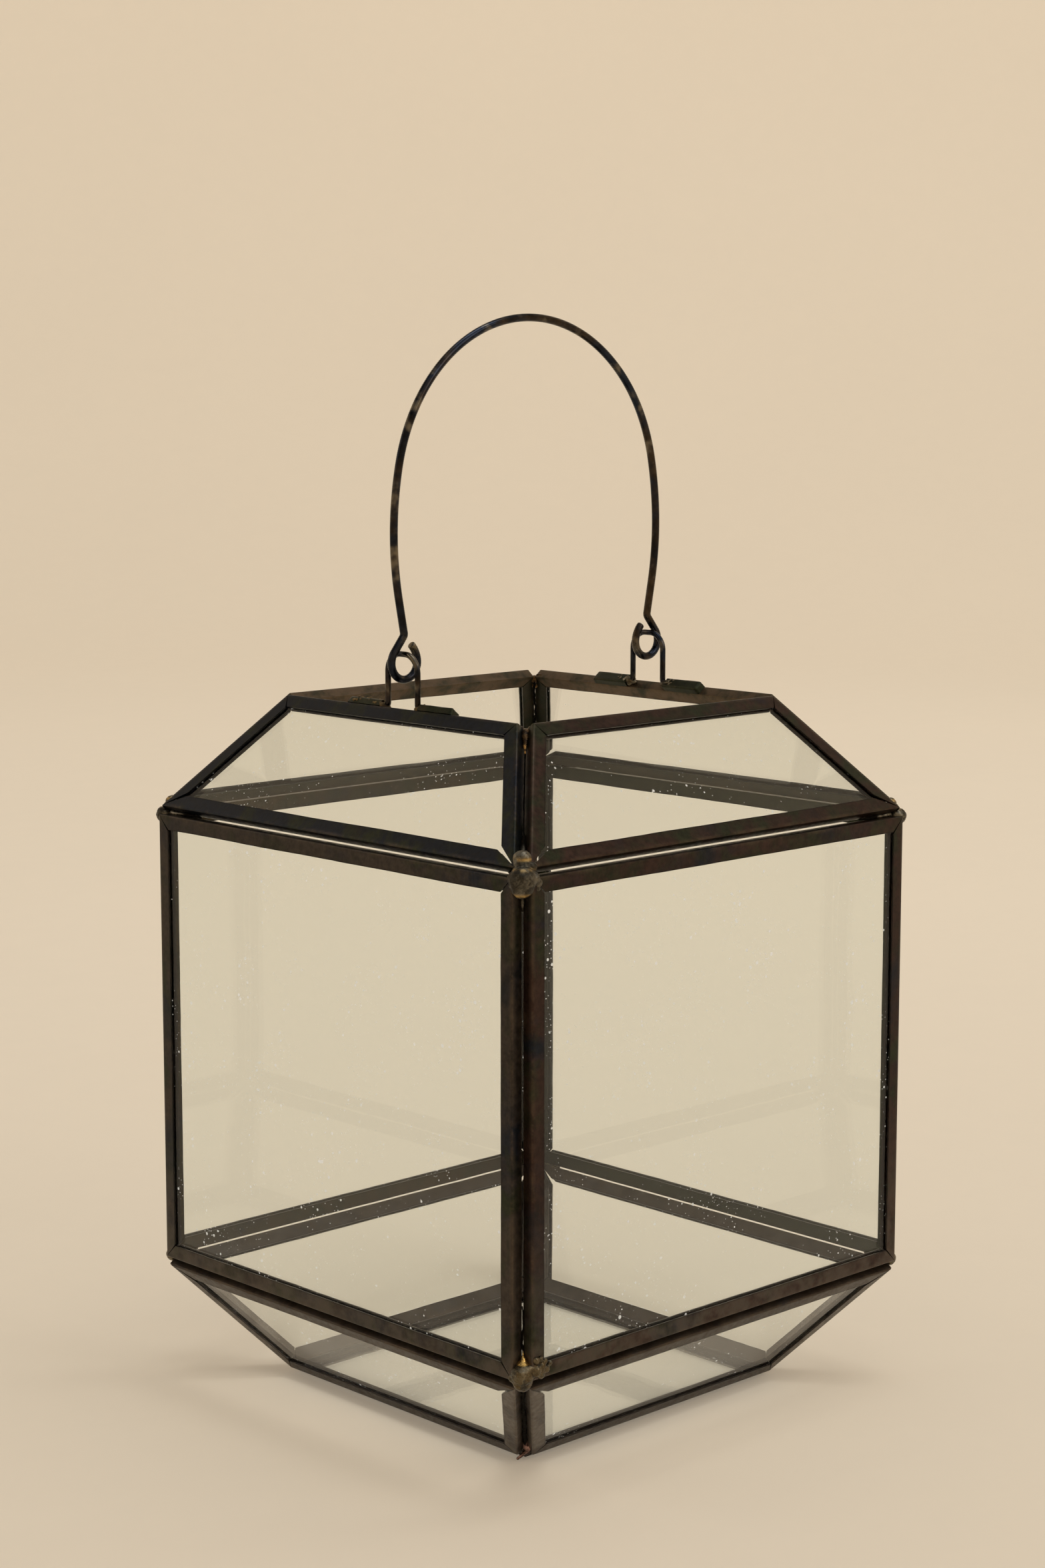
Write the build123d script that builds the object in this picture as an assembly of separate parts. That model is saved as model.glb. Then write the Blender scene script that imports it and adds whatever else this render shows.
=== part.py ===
"""Geometric candle lantern: thirteen glass panes, each in a folded metal channel, soldered at
the corners into an open-topped body with a wire bail handle that swings in two staples.

Units are millimetres.  +Z is up, the lantern stands on z = 0 and its axis is the Z axis.
The bail spans X, so its staples sit on the middles of the left (-X) and right (+X) rims.
"""
from build123d import *
import os
from math import asin, atan2, cos, degrees, radians, sin, tan

# ---- body: the inner faces of the panes form one closed polyhedron ----
BODY_HALF = 76.4          # half width inside the upright panes
RIM_HALF = 49.2           # half width of the open mouth
BASE_HALF = 50.2          # half width of the base pane
LOWER_SHOULDER_Z = 36.4   # where the panes turn from leaning out to upright
UPPER_SHOULDER_Z = 172.8  # where the panes turn from upright to leaning in
RIM_Z = 206.4             # inner edge of the mouth

# ---- channel and glass ----
CHANNEL_WIDTH = 3.6       # across the glass, outside to outside; also the height of the base frame
CHANNEL_DEPTH = 4.3       # how far a flange covers the glass
SHEET = 0.5               # sheet metal thickness
FRAME_GAP = 0.4           # light slit between neighbouring frames
MITRE_GAP = 0.5           # opening of a flange mitre at its inner corner
SHARP_MITRE_GAP = 1.2     # the same at a corner sharper than a right angle
SHARP_BELOW = 89.0        # degrees
MITRE_OVERRUN = 1.1       # the cut runs past the flange's inner corner
GLASS_THICK = 2.4
GLASS_EDGE_GAP = 0.6      # between the edge of the glass and the web of the channel

# ---- bail handle ----
BAIL_WIRE = 2.3
BAIL_CROWN_Z = 318.3      # middle of the wire at the top
CROWN_RADIUS = 52.3
CROWN_TURN = 78.0
SIDE_RADIUS = 95.0
SIDE_TURN = 23.0
SIDE_STRAIGHT = 9.5
KINK_RADIUS = 1.6
EYE_RADIUS = 4.85         # middle of the wire in the end eye
EYE_DROP = 7.75           # from the kink down to the middle of the eye
EYE_END_TURN = 282.0      # heading at which the eye opens out into its tip
TIP_RADIUS = 7.5
TIP_TURN = 35.0

# ---- staples that hold the bail ----
STAPLE_WIRE = 1.7
STAPLE_SPREAD = 12.6      # between the middles of the two legs
STAPLE_TOP_Z = 223.6      # middle of the wire at the top of the arch
ARCH_RADIUS = 5.2
FOOT_RADIUS = 1.6
FOOT_END = 19.5           # from the middle of the staple to the end of each foot
CLIP_START = 8.0
CLIP_END = 22.3
CLIP_SHEET = 0.4
CLIP_HEIGHT = 2.2
CLIP_SLOPE = 1.6          # how much shorter the top of a clip is than its foot
CLIP_CAP = 0.8            # folded end of a clip
FOOT_LIFT = 0.02          # the foot lies this far above the rail

# ---- solder ----
SHOULDER_DROP = 4.1
SHOULDER_LOBE = 3.1
LOWER_DROP = 3.5
LOWER_LOBE = 2.3
RIM_DROP = 2.3
BASE_DROP = 2.0
STAPLE_DAB = 1.5
BALL_TILT = (17, 31, 11)  # degrees

TOP, SIDE, BOTTOM = "top", "side", "bottom"
TURNS = {"front": 0, "right": 90, "back": 180, "left": 270}


def spin_z(shape, angle):
    """The shape turned about the lantern's axis."""
    return Rot(0, 0, angle) * shape


def front_panel(level):
    """Corners of one front pane on the inner polyhedron, in order, and its outward normal."""
    low_half, low_z, high_half, high_z = {
        TOP: (BODY_HALF, UPPER_SHOULDER_Z, RIM_HALF, RIM_Z),
        SIDE: (BODY_HALF, LOWER_SHOULDER_Z, BODY_HALF, UPPER_SHOULDER_Z),
        BOTTOM: (BASE_HALF, CHANNEL_WIDTH, BODY_HALF, LOWER_SHOULDER_Z),
    }[level]
    corners = [
        Vector(-low_half, -low_half, low_z),
        Vector(low_half, -low_half, low_z),
        Vector(high_half, -high_half, high_z),
        Vector(-high_half, -high_half, high_z),
    ]
    upward = (corners[2] - corners[1]) + (corners[3] - corners[0])
    return corners, Vector(1, 0, 0).cross(upward).normalized()


def base_panel():
    """Corners of the base pane and its outward normal, which points down."""
    corners = [
        Vector(-BASE_HALF, BASE_HALF, CHANNEL_WIDTH),
        Vector(BASE_HALF, BASE_HALF, CHANNEL_WIDTH),
        Vector(BASE_HALF, -BASE_HALF, CHANNEL_WIDTH),
        Vector(-BASE_HALF, -BASE_HALF, CHANNEL_WIDTH),
    ]
    return corners, Vector(0, 0, -1)


def panel_plane(corners, normal):
    """Plane of a pane's inner face, with its local z pointing out of the lantern."""
    middle = (corners[0] + corners[1] + corners[2] + corners[3]) * 0.25
    return Plane(origin=middle, x_dir=Vector(1, 0, 0), z_dir=normal)


def panel_outline(corners, plane, inset):
    """The pane's outline in the plane's own coordinates, drawn in by inset."""
    flat = [plane.to_local_coords(corner) for corner in corners]
    outline = make_face(Polyline(*[(p.X, p.Y) for p in flat], close=True))
    return offset(outline, -inset, kind=Kind.INTERSECTION)


def ordered_corners(outline):
    """Corner points of a flat outline, in order round its middle."""
    points = [Vector(*vertex) for vertex in outline.vertices()]
    return sorted(points, key=lambda point: atan2(point.Y, point.X))


def mitre_cuts(outline):
    """Wedges that part the flanges at each corner, closed at the outer corner."""
    inner = offset(outline, -CHANNEL_DEPTH, kind=Kind.INTERSECTION)
    outer_points = ordered_corners(outline)
    inner_points = ordered_corners(inner)
    cuts = []
    for index, tip in enumerate(outer_points):
        before = outer_points[index - 1] - tip
        after = outer_points[(index + 1) % len(outer_points)] - tip
        sharp = before.get_angle(after) < SHARP_BELOW
        gap = SHARP_MITRE_GAP if sharp else MITRE_GAP
        root = min(inner_points, key=lambda point: (point - tip).length)
        along = (root - tip) * MITRE_OVERRUN
        half = along.cross(Vector(0, 0, 1)).normalized() * (gap * MITRE_OVERRUN / 2)
        wedge = make_face(Polyline(tip, tip + along + half, tip + along - half, close=True))
        cuts.append(extrude(wedge, CHANNEL_WIDTH))
    return cuts


def channel_frame(corners, normal):
    """U-section channel folded round one pane: a web on edge and two mitred flanges."""
    plane = panel_plane(corners, normal)
    outline = panel_outline(corners, plane, FRAME_GAP / 2)
    window = offset(outline, -CHANNEL_DEPTH, kind=Kind.INTERSECTION)
    flange = extrude(outline - window, SHEET)
    flanges = flange + Pos(0, 0, CHANNEL_WIDTH - SHEET) * flange
    for cut in mitre_cuts(outline):
        flanges -= cut
    web = extrude(outline - offset(outline, -SHEET, kind=Kind.INTERSECTION), CHANNEL_WIDTH)
    return plane * (web + flanges)


def glass_pane(corners, normal):
    """Flat glass held between the flanges of its channel."""
    plane = panel_plane(corners, normal)
    outline = panel_outline(corners, plane, FRAME_GAP / 2 + SHEET + GLASS_EDGE_GAP)
    lift = (CHANNEL_WIDTH - GLASS_THICK) / 2
    return plane * (Pos(0, 0, lift) * extrude(outline, GLASS_THICK))


def frame_block(corners, normal):
    """The whole space of a frame and its pane, used to trim solder."""
    plane = panel_plane(corners, normal)
    return plane * extrude(panel_outline(corners, plane, FRAME_GAP / 2), CHANNEL_WIDTH)


def corner_blocks():
    """Frame blocks that meet at the front-left corner of the lantern."""
    blocks = []
    for level in (TOP, SIDE, BOTTOM):
        block = frame_block(*front_panel(level))
        blocks.append(block)
        blocks.append(spin_z(block, TURNS["left"]))
    blocks.append(frame_block(*base_panel()))
    return blocks


def trimmed(drop, blocks):
    """The largest piece of a drop that is left outside the given blocks."""
    for block in blocks:
        drop -= block
    return max(drop.solids(), key=lambda solid: solid.volume)


def ball(place, radius):
    """A sphere turned so that its seam and poles lie off the planes of the frames."""
    return Pos(*place) * Rot(*BALL_TILT) * Sphere(radius)


def corner_drop(place, radius, lobe_place, lobe_radius):
    """A drop of solder with a smaller lobe run into a groove."""
    return ball(place, radius) + ball(lobe_place, lobe_radius)


def on_corner(half, z):
    """A point over the front-left corner, at equal distances along -X and -Y."""
    return (-half, -half, z)


def corner_solder():
    """The four kinds of corner solder on the front-left corner, by node name."""
    blocks = corner_blocks()
    upper = corner_drop(
        on_corner(BODY_HALF + 0.9, UPPER_SHOULDER_Z - 1.2), SHOULDER_DROP,
        on_corner(BODY_HALF - 1.1, UPPER_SHOULDER_Z + 3.9), SHOULDER_LOBE)
    lower = corner_drop(
        on_corner(BODY_HALF + 0.8, LOWER_SHOULDER_Z - 0.2), LOWER_DROP,
        on_corner(BODY_HALF + 0.6, LOWER_SHOULDER_Z + 4.0), LOWER_LOBE)
    rim = corner_drop(
        on_corner(RIM_HALF + 0.8, RIM_Z - 0.6), RIM_DROP,
        on_corner(RIM_HALF + 2.6, RIM_Z - 2.8), RIM_DROP * 0.7)
    base = corner_drop(
        on_corner(BASE_HALF - 0.4, CHANNEL_WIDTH - 1.0), BASE_DROP,
        on_corner(BASE_HALF + 1.4, CHANNEL_WIDTH + 1.0), BASE_DROP * 0.8)
    drops = {
        "upper_shoulder_solder": upper,
        "lower_shoulder_solder": lower,
        "rim_corner_solder": rim,
        "base_corner_solder": base,
    }
    return {name: trimmed(drop, blocks) for name, drop in drops.items()}


def bent_wire(start, heading, steps, diameter):
    """A round wire in the XZ plane: each step is (length, None) or (radius, turn in degrees)."""
    edges = []
    point, angle = Vector(*start), heading
    for size, turn in steps:
        direction = Vector(cos(radians(angle)), sin(radians(angle)))
        if turn is None:
            edge = Line(point, point + direction * size)
        else:
            edge = JernArc(start=point, tangent=direction, radius=size, arc_size=turn)
            angle += turn
        edges.append(edge)
        point = Vector(*edge.position_at(1))
    path = Plane.XZ * Wire(edges)
    section = Plane(origin=path.position_at(0), z_dir=path.tangent_at(0)) * Circle(diameter / 2)
    return sweep(section, path=path)


def bail_handle():
    """Wire bail: a round crown, slightly drawn-in sides and an open eye at each end."""
    side_heading = CROWN_TURN + SIDE_TURN
    neck_heading = 90 - degrees(asin(EYE_RADIUS / EYE_DROP))
    kink_turn = side_heading - neck_heading
    kink_run = KINK_RADIUS * tan(radians(kink_turn / 2))
    neck = EYE_DROP * cos(asin(EYE_RADIUS / EYE_DROP)) - kink_run
    steps = [
        (CROWN_RADIUS, -CROWN_TURN),
        (SIDE_RADIUS, -SIDE_TURN),
        (SIDE_STRAIGHT, None),
        (KINK_RADIUS, kink_turn),
        (neck, None),
        (EYE_RADIUS, neck_heading - EYE_END_TURN),
        (TIP_RADIUS, -TIP_TURN),
    ]
    half = bent_wire((0, BAIL_CROWN_Z), 0, steps, BAIL_WIRE)
    return half + mirror(half, about=Plane.YZ)


def rim_rail():
    """Middle of the right rim's web and the web's normal, both in the XZ plane."""
    corners, normal = front_panel(TOP)
    lean = Vector(-normal.Y, 0, normal.Z)
    web_normal = Vector(-lean.Z, 0, lean.X)
    inner_edge = Vector(RIM_HALF, 0, RIM_Z) - web_normal * (FRAME_GAP / 2)
    return inner_edge + lean * (CHANNEL_WIDTH / 2), web_normal


def right_staple():
    """Wire staple over the right rim: an arch, two legs and two feet turned outwards."""
    rail, web_normal = rim_rail()
    foot = rail + web_normal * (STAPLE_WIRE / 2 + FOOT_LIFT)
    half_spread = STAPLE_SPREAD / 2
    leg = STAPLE_TOP_Z - ARCH_RADIUS - foot.Z - FOOT_RADIUS
    steps = [
        (half_spread - ARCH_RADIUS, None),
        (ARCH_RADIUS, -90),
        (leg, None),
        (FOOT_RADIUS, 90),
        (FOOT_END - half_spread - FOOT_RADIUS, None),
    ]
    half = bent_wire((0, STAPLE_TOP_Z), 0, steps, STAPLE_WIRE)
    whole = half + mirror(half, about=Plane.YZ)
    return Pos(foot.X, 0, 0) * Rot(0, 0, 90) * whole


def right_clip():
    """Folded cover over one foot of the right staple, open towards the staple's leg."""
    rail, web_normal = rim_rail()
    along_rim = Vector(0, 1, 0)
    plane = Plane(origin=rail, x_dir=along_rim, z_dir=along_rim.cross(web_normal))
    top_end = CLIP_END - CLIP_SLOPE
    outer = Polyline(
        (CLIP_START, 0), (CLIP_END, 0), (top_end, CLIP_HEIGHT), (CLIP_START, CLIP_HEIGHT), close=True)
    room = CLIP_HEIGHT - CLIP_SHEET
    room_end = CLIP_END - CLIP_CAP
    room_top_end = room_end - CLIP_SLOPE * room / CLIP_HEIGHT
    inner = Polyline((0, -room), (room_end, -room), (room_end, 0), (room_top_end, room), (0, room), close=True)
    shell = extrude(make_face(outer), CHANNEL_WIDTH / 2, both=True)
    hollow = extrude(make_face(inner), CHANNEL_WIDTH / 2 - CLIP_SHEET, both=True)
    return plane * (shell - hollow)


def right_staple_dab(staple, clip):
    """Solder between one leg of the right staple, the rail and its clip."""
    rail, web_normal = rim_rail()
    place = rail + Vector(0, CLIP_START - 0.6, 0) + web_normal * 0.6
    dab = ball(place, STAPLE_DAB)
    block = spin_z(frame_block(*front_panel(TOP)), TURNS["right"])
    return trimmed(dab, [block, staple, clip])


def mirrored_pair(shape):
    """A shape and its mirror image across the bail's plane."""
    return Compound([shape, mirror(shape, about=Plane.XZ)])


def staple_nodes():
    """Staples with their clips and solder, on the right rim and turned onto the left one."""
    staple = right_staple()
    clip = right_clip()
    dab = right_staple_dab(staple, clip)
    kit = {"staple": staple, "staple_clips": mirrored_pair(clip), "staple_solder": mirrored_pair(dab)}
    nodes = {}
    for name, shape in kit.items():
        nodes["right_" + name] = shape
        nodes["left_" + name] = spin_z(shape, 180)
    return nodes


def panel_nodes():
    """A frame and a pane for each of the twelve walls and for the base."""
    nodes = {}
    for level in (TOP, SIDE, BOTTOM):
        frame = channel_frame(*front_panel(level))
        glass = glass_pane(*front_panel(level))
        for facing, turn in TURNS.items():
            nodes[level + "_" + facing + "_frame"] = spin_z(frame, turn)
            nodes[level + "_" + facing + "_glass"] = spin_z(glass, turn)
    nodes["base_frame"] = channel_frame(*base_panel())
    nodes["base_glass"] = glass_pane(*base_panel())
    return nodes


def solder_nodes():
    """Corner solder of each kind at all four corners."""
    nodes = {}
    for name, drop in corner_solder().items():
        nodes[name] = Compound([spin_z(drop, turn) for turn in TURNS.values()])
    return nodes


def main():
    os.makedirs("parts", exist_ok=True)
    nodes = {"handle": bail_handle()}
    nodes.update(panel_nodes())
    nodes.update(solder_nodes())
    nodes.update(staple_nodes())
    for name, shape in nodes.items():
        export_step(shape, "parts/" + name + ".step")


main()
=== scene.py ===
"""Looks of the geometric candle lantern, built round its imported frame.

Thirteen panes of clear glass sit in folded, dark patinated channel.  Solder joins the corners,
and a wire bail swings in two wire staples on the rim.  Lengths are in metres, +Z is up, and the
lantern stands on z = 0 with its axis on the Z axis.
"""

import logging
import math
import random
from collections.abc import Callable
from dataclasses import dataclass, field
from enum import Enum

import bmesh
import bpy
from mathutils import Matrix, Vector, noise


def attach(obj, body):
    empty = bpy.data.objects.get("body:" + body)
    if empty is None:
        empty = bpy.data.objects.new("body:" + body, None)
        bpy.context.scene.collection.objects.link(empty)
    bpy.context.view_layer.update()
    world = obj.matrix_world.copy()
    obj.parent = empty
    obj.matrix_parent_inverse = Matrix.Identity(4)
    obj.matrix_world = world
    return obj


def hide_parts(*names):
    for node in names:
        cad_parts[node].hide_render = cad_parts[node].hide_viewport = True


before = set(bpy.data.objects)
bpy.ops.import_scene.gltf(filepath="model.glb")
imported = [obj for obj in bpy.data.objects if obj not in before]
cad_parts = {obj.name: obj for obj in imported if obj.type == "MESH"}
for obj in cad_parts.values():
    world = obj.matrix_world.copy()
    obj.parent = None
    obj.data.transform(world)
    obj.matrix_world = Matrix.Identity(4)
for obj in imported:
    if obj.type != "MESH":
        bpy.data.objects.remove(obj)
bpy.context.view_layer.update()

MM = 0.001
MERGE = 0.01 * MM
TOUCH = 1e-7
NOISE_SEED = 7
LOG = logging.getLogger("lantern")


class Level(Enum):
    """The three rings of walls, from the mouth down."""

    TOP = "top"
    SIDE = "side"
    BOTTOM = "bottom"


class Facing(Enum):
    """The way a wall faces, with its turn about the lantern's axis in degrees."""

    FRONT = 0
    RIGHT = 90
    BACK = 180
    LEFT = 270


class Slot(Enum):
    """The record's material slots."""

    CHANNEL = "patinated_channel"
    GLASS = "pane_glass"
    SOLDER = "solder"
    WIRE = "blackened_wire"


class SolderRun(Enum):
    """The four kinds of corner solder, by their nodes' names."""

    UPPER = "upper_shoulder_solder"
    LOWER = "lower_shoulder_solder"
    RIM = "rim_corner_solder"
    BASE = "base_corner_solder"


Socket = bpy.types.NodeSocket
Tree = bpy.types.NodeTree
Material = bpy.types.Material
BMesh = bmesh.types.BMesh
Colour = tuple[float, float, float]
Stop = tuple[float, Colour]
Drops = list[tuple[Vector, float]]
Bead = tuple[float, float, float, float]


def unit(value: float) -> float:
    """Keeps a number between 0 and 1."""
    return min(max(value, 0.0), 1.0)


def bell(value: float, middle: float, width: float) -> float:
    """A smooth hump of height 1 round a middle."""
    return math.exp(-((value - middle) / width) ** 2)


def only(kind: type, items: list) -> list:
    """The items of one kind among what an operator gives back."""
    return [item for item in items if isinstance(item, kind)]


def fit(made: bpy.types.Object, body: str, node: str) -> None:
    """Puts a finished piece in its node's place.

    Args:
        made: The piece.
        body: The body that it moves with.
        node: The node that it replaces.
    """
    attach(made, body)
    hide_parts(node)


# ---------------------------------------------------------------- node trees


class Graph:
    """A node tree that is being filled."""

    def __init__(self, tree: Tree) -> None:
        """Starts on a tree.

        Args:
            tree: The node tree to fill.
        """
        self.tree = tree

    def node(self, kind: str, **settings: object) -> bpy.types.Node:
        """Adds a node.

        Args:
            kind: The node type without its ShaderNode prefix.
            settings: Attributes to set on the node.

        Returns:
            The new node.
        """
        made = self.tree.nodes.new("ShaderNode" + kind)
        for name, value in settings.items():
            setattr(made, name, value)
        return made

    def feed(self, socket: Socket, value: object) -> None:
        """Links a socket to another node's output, or sets its plain value.

        Args:
            socket: The input socket.
            value: An output socket, a number, a colour or a vector.
        """
        if isinstance(value, Socket):
            self.tree.links.new(value, socket)
        elif socket.type == "RGBA" and len(value) == 3:
            socket.default_value = (*value, 1.0)
        else:
            socket.default_value = value

    def math(self, operation: str, first: object, second: object = 0.0,
             clamp: bool = False) -> Socket:
        """Adds a Math node.

        Args:
            operation: The node's operation.
            first: First number or socket.
            second: Second number or socket.
            clamp: Whether the result is kept between 0 and 1.

        Returns:
            The result socket.
        """
        made = self.node("Math", operation=operation, use_clamp=clamp)
        self.feed(made.inputs[0], first)
        self.feed(made.inputs[1], second)
        return made.outputs[0]

    def noise(self, vector: object, scale: object, detail: float = 3.0, rough: float = 0.55,
              twist: float = 0.0) -> Socket:
        """Adds a noise texture.

        Args:
            vector: Where the texture is read.
            scale: Features per metre.
            detail: Octaves.
            rough: How strong the finer octaves are.
            twist: Distortion.

        Returns:
            The noise value socket.
        """
        made = self.node("TexNoise")
        self.feed(made.inputs["Vector"], vector)
        self.feed(made.inputs["Scale"], scale)
        made.inputs["Detail"].default_value = detail
        made.inputs["Roughness"].default_value = rough
        made.inputs["Distortion"].default_value = twist
        return made.outputs["Fac"]

    def cells(self, vector: object, scale: float) -> Socket:
        """Adds a Voronoi texture.

        Args:
            vector: Where the texture is read.
            scale: Cells per metre.

        Returns:
            The distance to the middle of the nearest cell.
        """
        made = self.node("TexVoronoi")
        self.feed(made.inputs["Vector"], vector)
        made.inputs["Scale"].default_value = scale
        return made.outputs["Distance"]

    def spread(self, value: object, low: float, high: float, out_low: float = 0.0,
               out_high: float = 1.0) -> Socket:
        """Maps a range smoothly onto another.

        Args:
            value: The number or socket to map.
            low: Start of the range.
            high: End of the range.
            out_low: What the start becomes.
            out_high: What the end becomes.

        Returns:
            The mapped socket.
        """
        made = self.node("MapRange", interpolation_type="SMOOTHSTEP")
        self.feed(made.inputs["Value"], value)
        made.inputs["From Min"].default_value = low
        made.inputs["From Max"].default_value = high
        self.feed(made.inputs["To Min"], out_low)
        self.feed(made.inputs["To Max"], out_high)
        return made.outputs["Result"]

    def blend(self, share: object, first: object, second: object, mode: str = "MIX") -> Socket:
        """Mixes two colours.

        Args:
            share: How much of the second colour shows.
            first: First colour or socket.
            second: Second colour or socket.
            mode: Blend type.

        Returns:
            The colour socket.
        """
        made = self.node("Mix", data_type="RGBA", blend_type=mode, clamp_factor=True)
        self.feed(made.inputs[0], share)
        self.feed(made.inputs[6], first)
        self.feed(made.inputs[7], second)
        return made.outputs[2]

    def ramp(self, value: object, stops: tuple[Stop, ...]) -> Socket:
        """Adds a colour ramp.

        Args:
            value: The number or socket that reads the ramp.
            stops: Positions and colours.

        Returns:
            The colour socket.
        """
        made = self.node("ValToRGB")
        band = made.color_ramp
        while len(band.elements) < len(stops):
            band.elements.new(1.0)
        for element, (place, colour) in zip(band.elements, stops):
            element.position = place
            element.color = (*colour, 1.0)
        self.feed(made.inputs[0], value)
        return made.outputs["Color"]

    def bump(self, height: object, strength: float, distance: float) -> Socket:
        """Adds a Bump node.

        Args:
            height: Height socket.
            strength: How strong the bump is.
            distance: Depth of the bump in metres.

        Returns:
            The normal socket.
        """
        made = self.node("Bump")
        made.inputs["Strength"].default_value = strength
        made.inputs["Distance"].default_value = distance
        self.feed(made.inputs["Height"], height)
        return made.outputs["Normal"]

    def place(self, moved: Vector = Vector()) -> Socket:
        """Object coordinates, moved.

        Args:
            moved: Offset that sets one part's pattern apart from another's.

        Returns:
            The vector socket.
        """
        made = self.node("Mapping")
        self.feed(made.inputs["Vector"], self.node("TexCoord").outputs["Object"])
        made.inputs["Location"].default_value = moved
        return made.outputs["Vector"]

    def mask(self, layer: str) -> Socket:
        """The value of one of the piece's own attributes."""
        return self.node("Attribute", attribute_name=layer).outputs["Fac"]

    def group(self, tree: Tree, **values: object) -> bpy.types.Node:
        """Adds a node group.

        Args:
            tree: The group's tree.
            values: Inputs by name, with an underscore for each space.

        Returns:
            The group node.
        """
        made = self.node("Group", node_tree=tree)
        for name, value in values.items():
            self.feed(made.inputs[name.replace("_", " ")], value)
        return made


def new_group(name: str, inputs: dict[str, str], outputs: dict[str, str]) -> tuple[Graph, dict, dict]:
    """Starts a shader node group.

    Args:
        name: Name of the group.
        inputs: Socket kinds by input name.
        outputs: Socket kinds by output name.

    Returns:
        The graph, its input sockets by name and its output sockets by name.
    """
    tree = bpy.data.node_groups.new(name, "ShaderNodeTree")
    for socket, kind in inputs.items():
        tree.interface.new_socket(name=socket, in_out="INPUT", socket_type="NodeSocket" + kind)
    for socket, kind in outputs.items():
        tree.interface.new_socket(name=socket, in_out="OUTPUT", socket_type="NodeSocket" + kind)
    entry = tree.nodes.new("NodeGroupInput")
    leave = tree.nodes.new("NodeGroupOutput")
    return Graph(tree), {n: entry.outputs[n] for n in inputs}, {n: leave.inputs[n] for n in outputs}


def new_material(name: str, **constants: object) -> tuple[Material, Graph, bpy.types.Node]:
    """Starts a material with a Principled shader.

    Args:
        name: Name of the material.
        constants: Plain socket values, with an underscore for each space.

    Returns:
        The material, its graph and its Principled node.
    """
    material = bpy.data.materials.new(name)
    material.use_nodes = True
    graph = Graph(material.node_tree)
    shader = material.node_tree.nodes["Principled BSDF"]
    for socket, value in constants.items():
        graph.feed(shader.inputs[socket.replace("_", " ")], value)
    return material, graph, shader


# ---------------------------------------------------------------- shared effects


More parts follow.
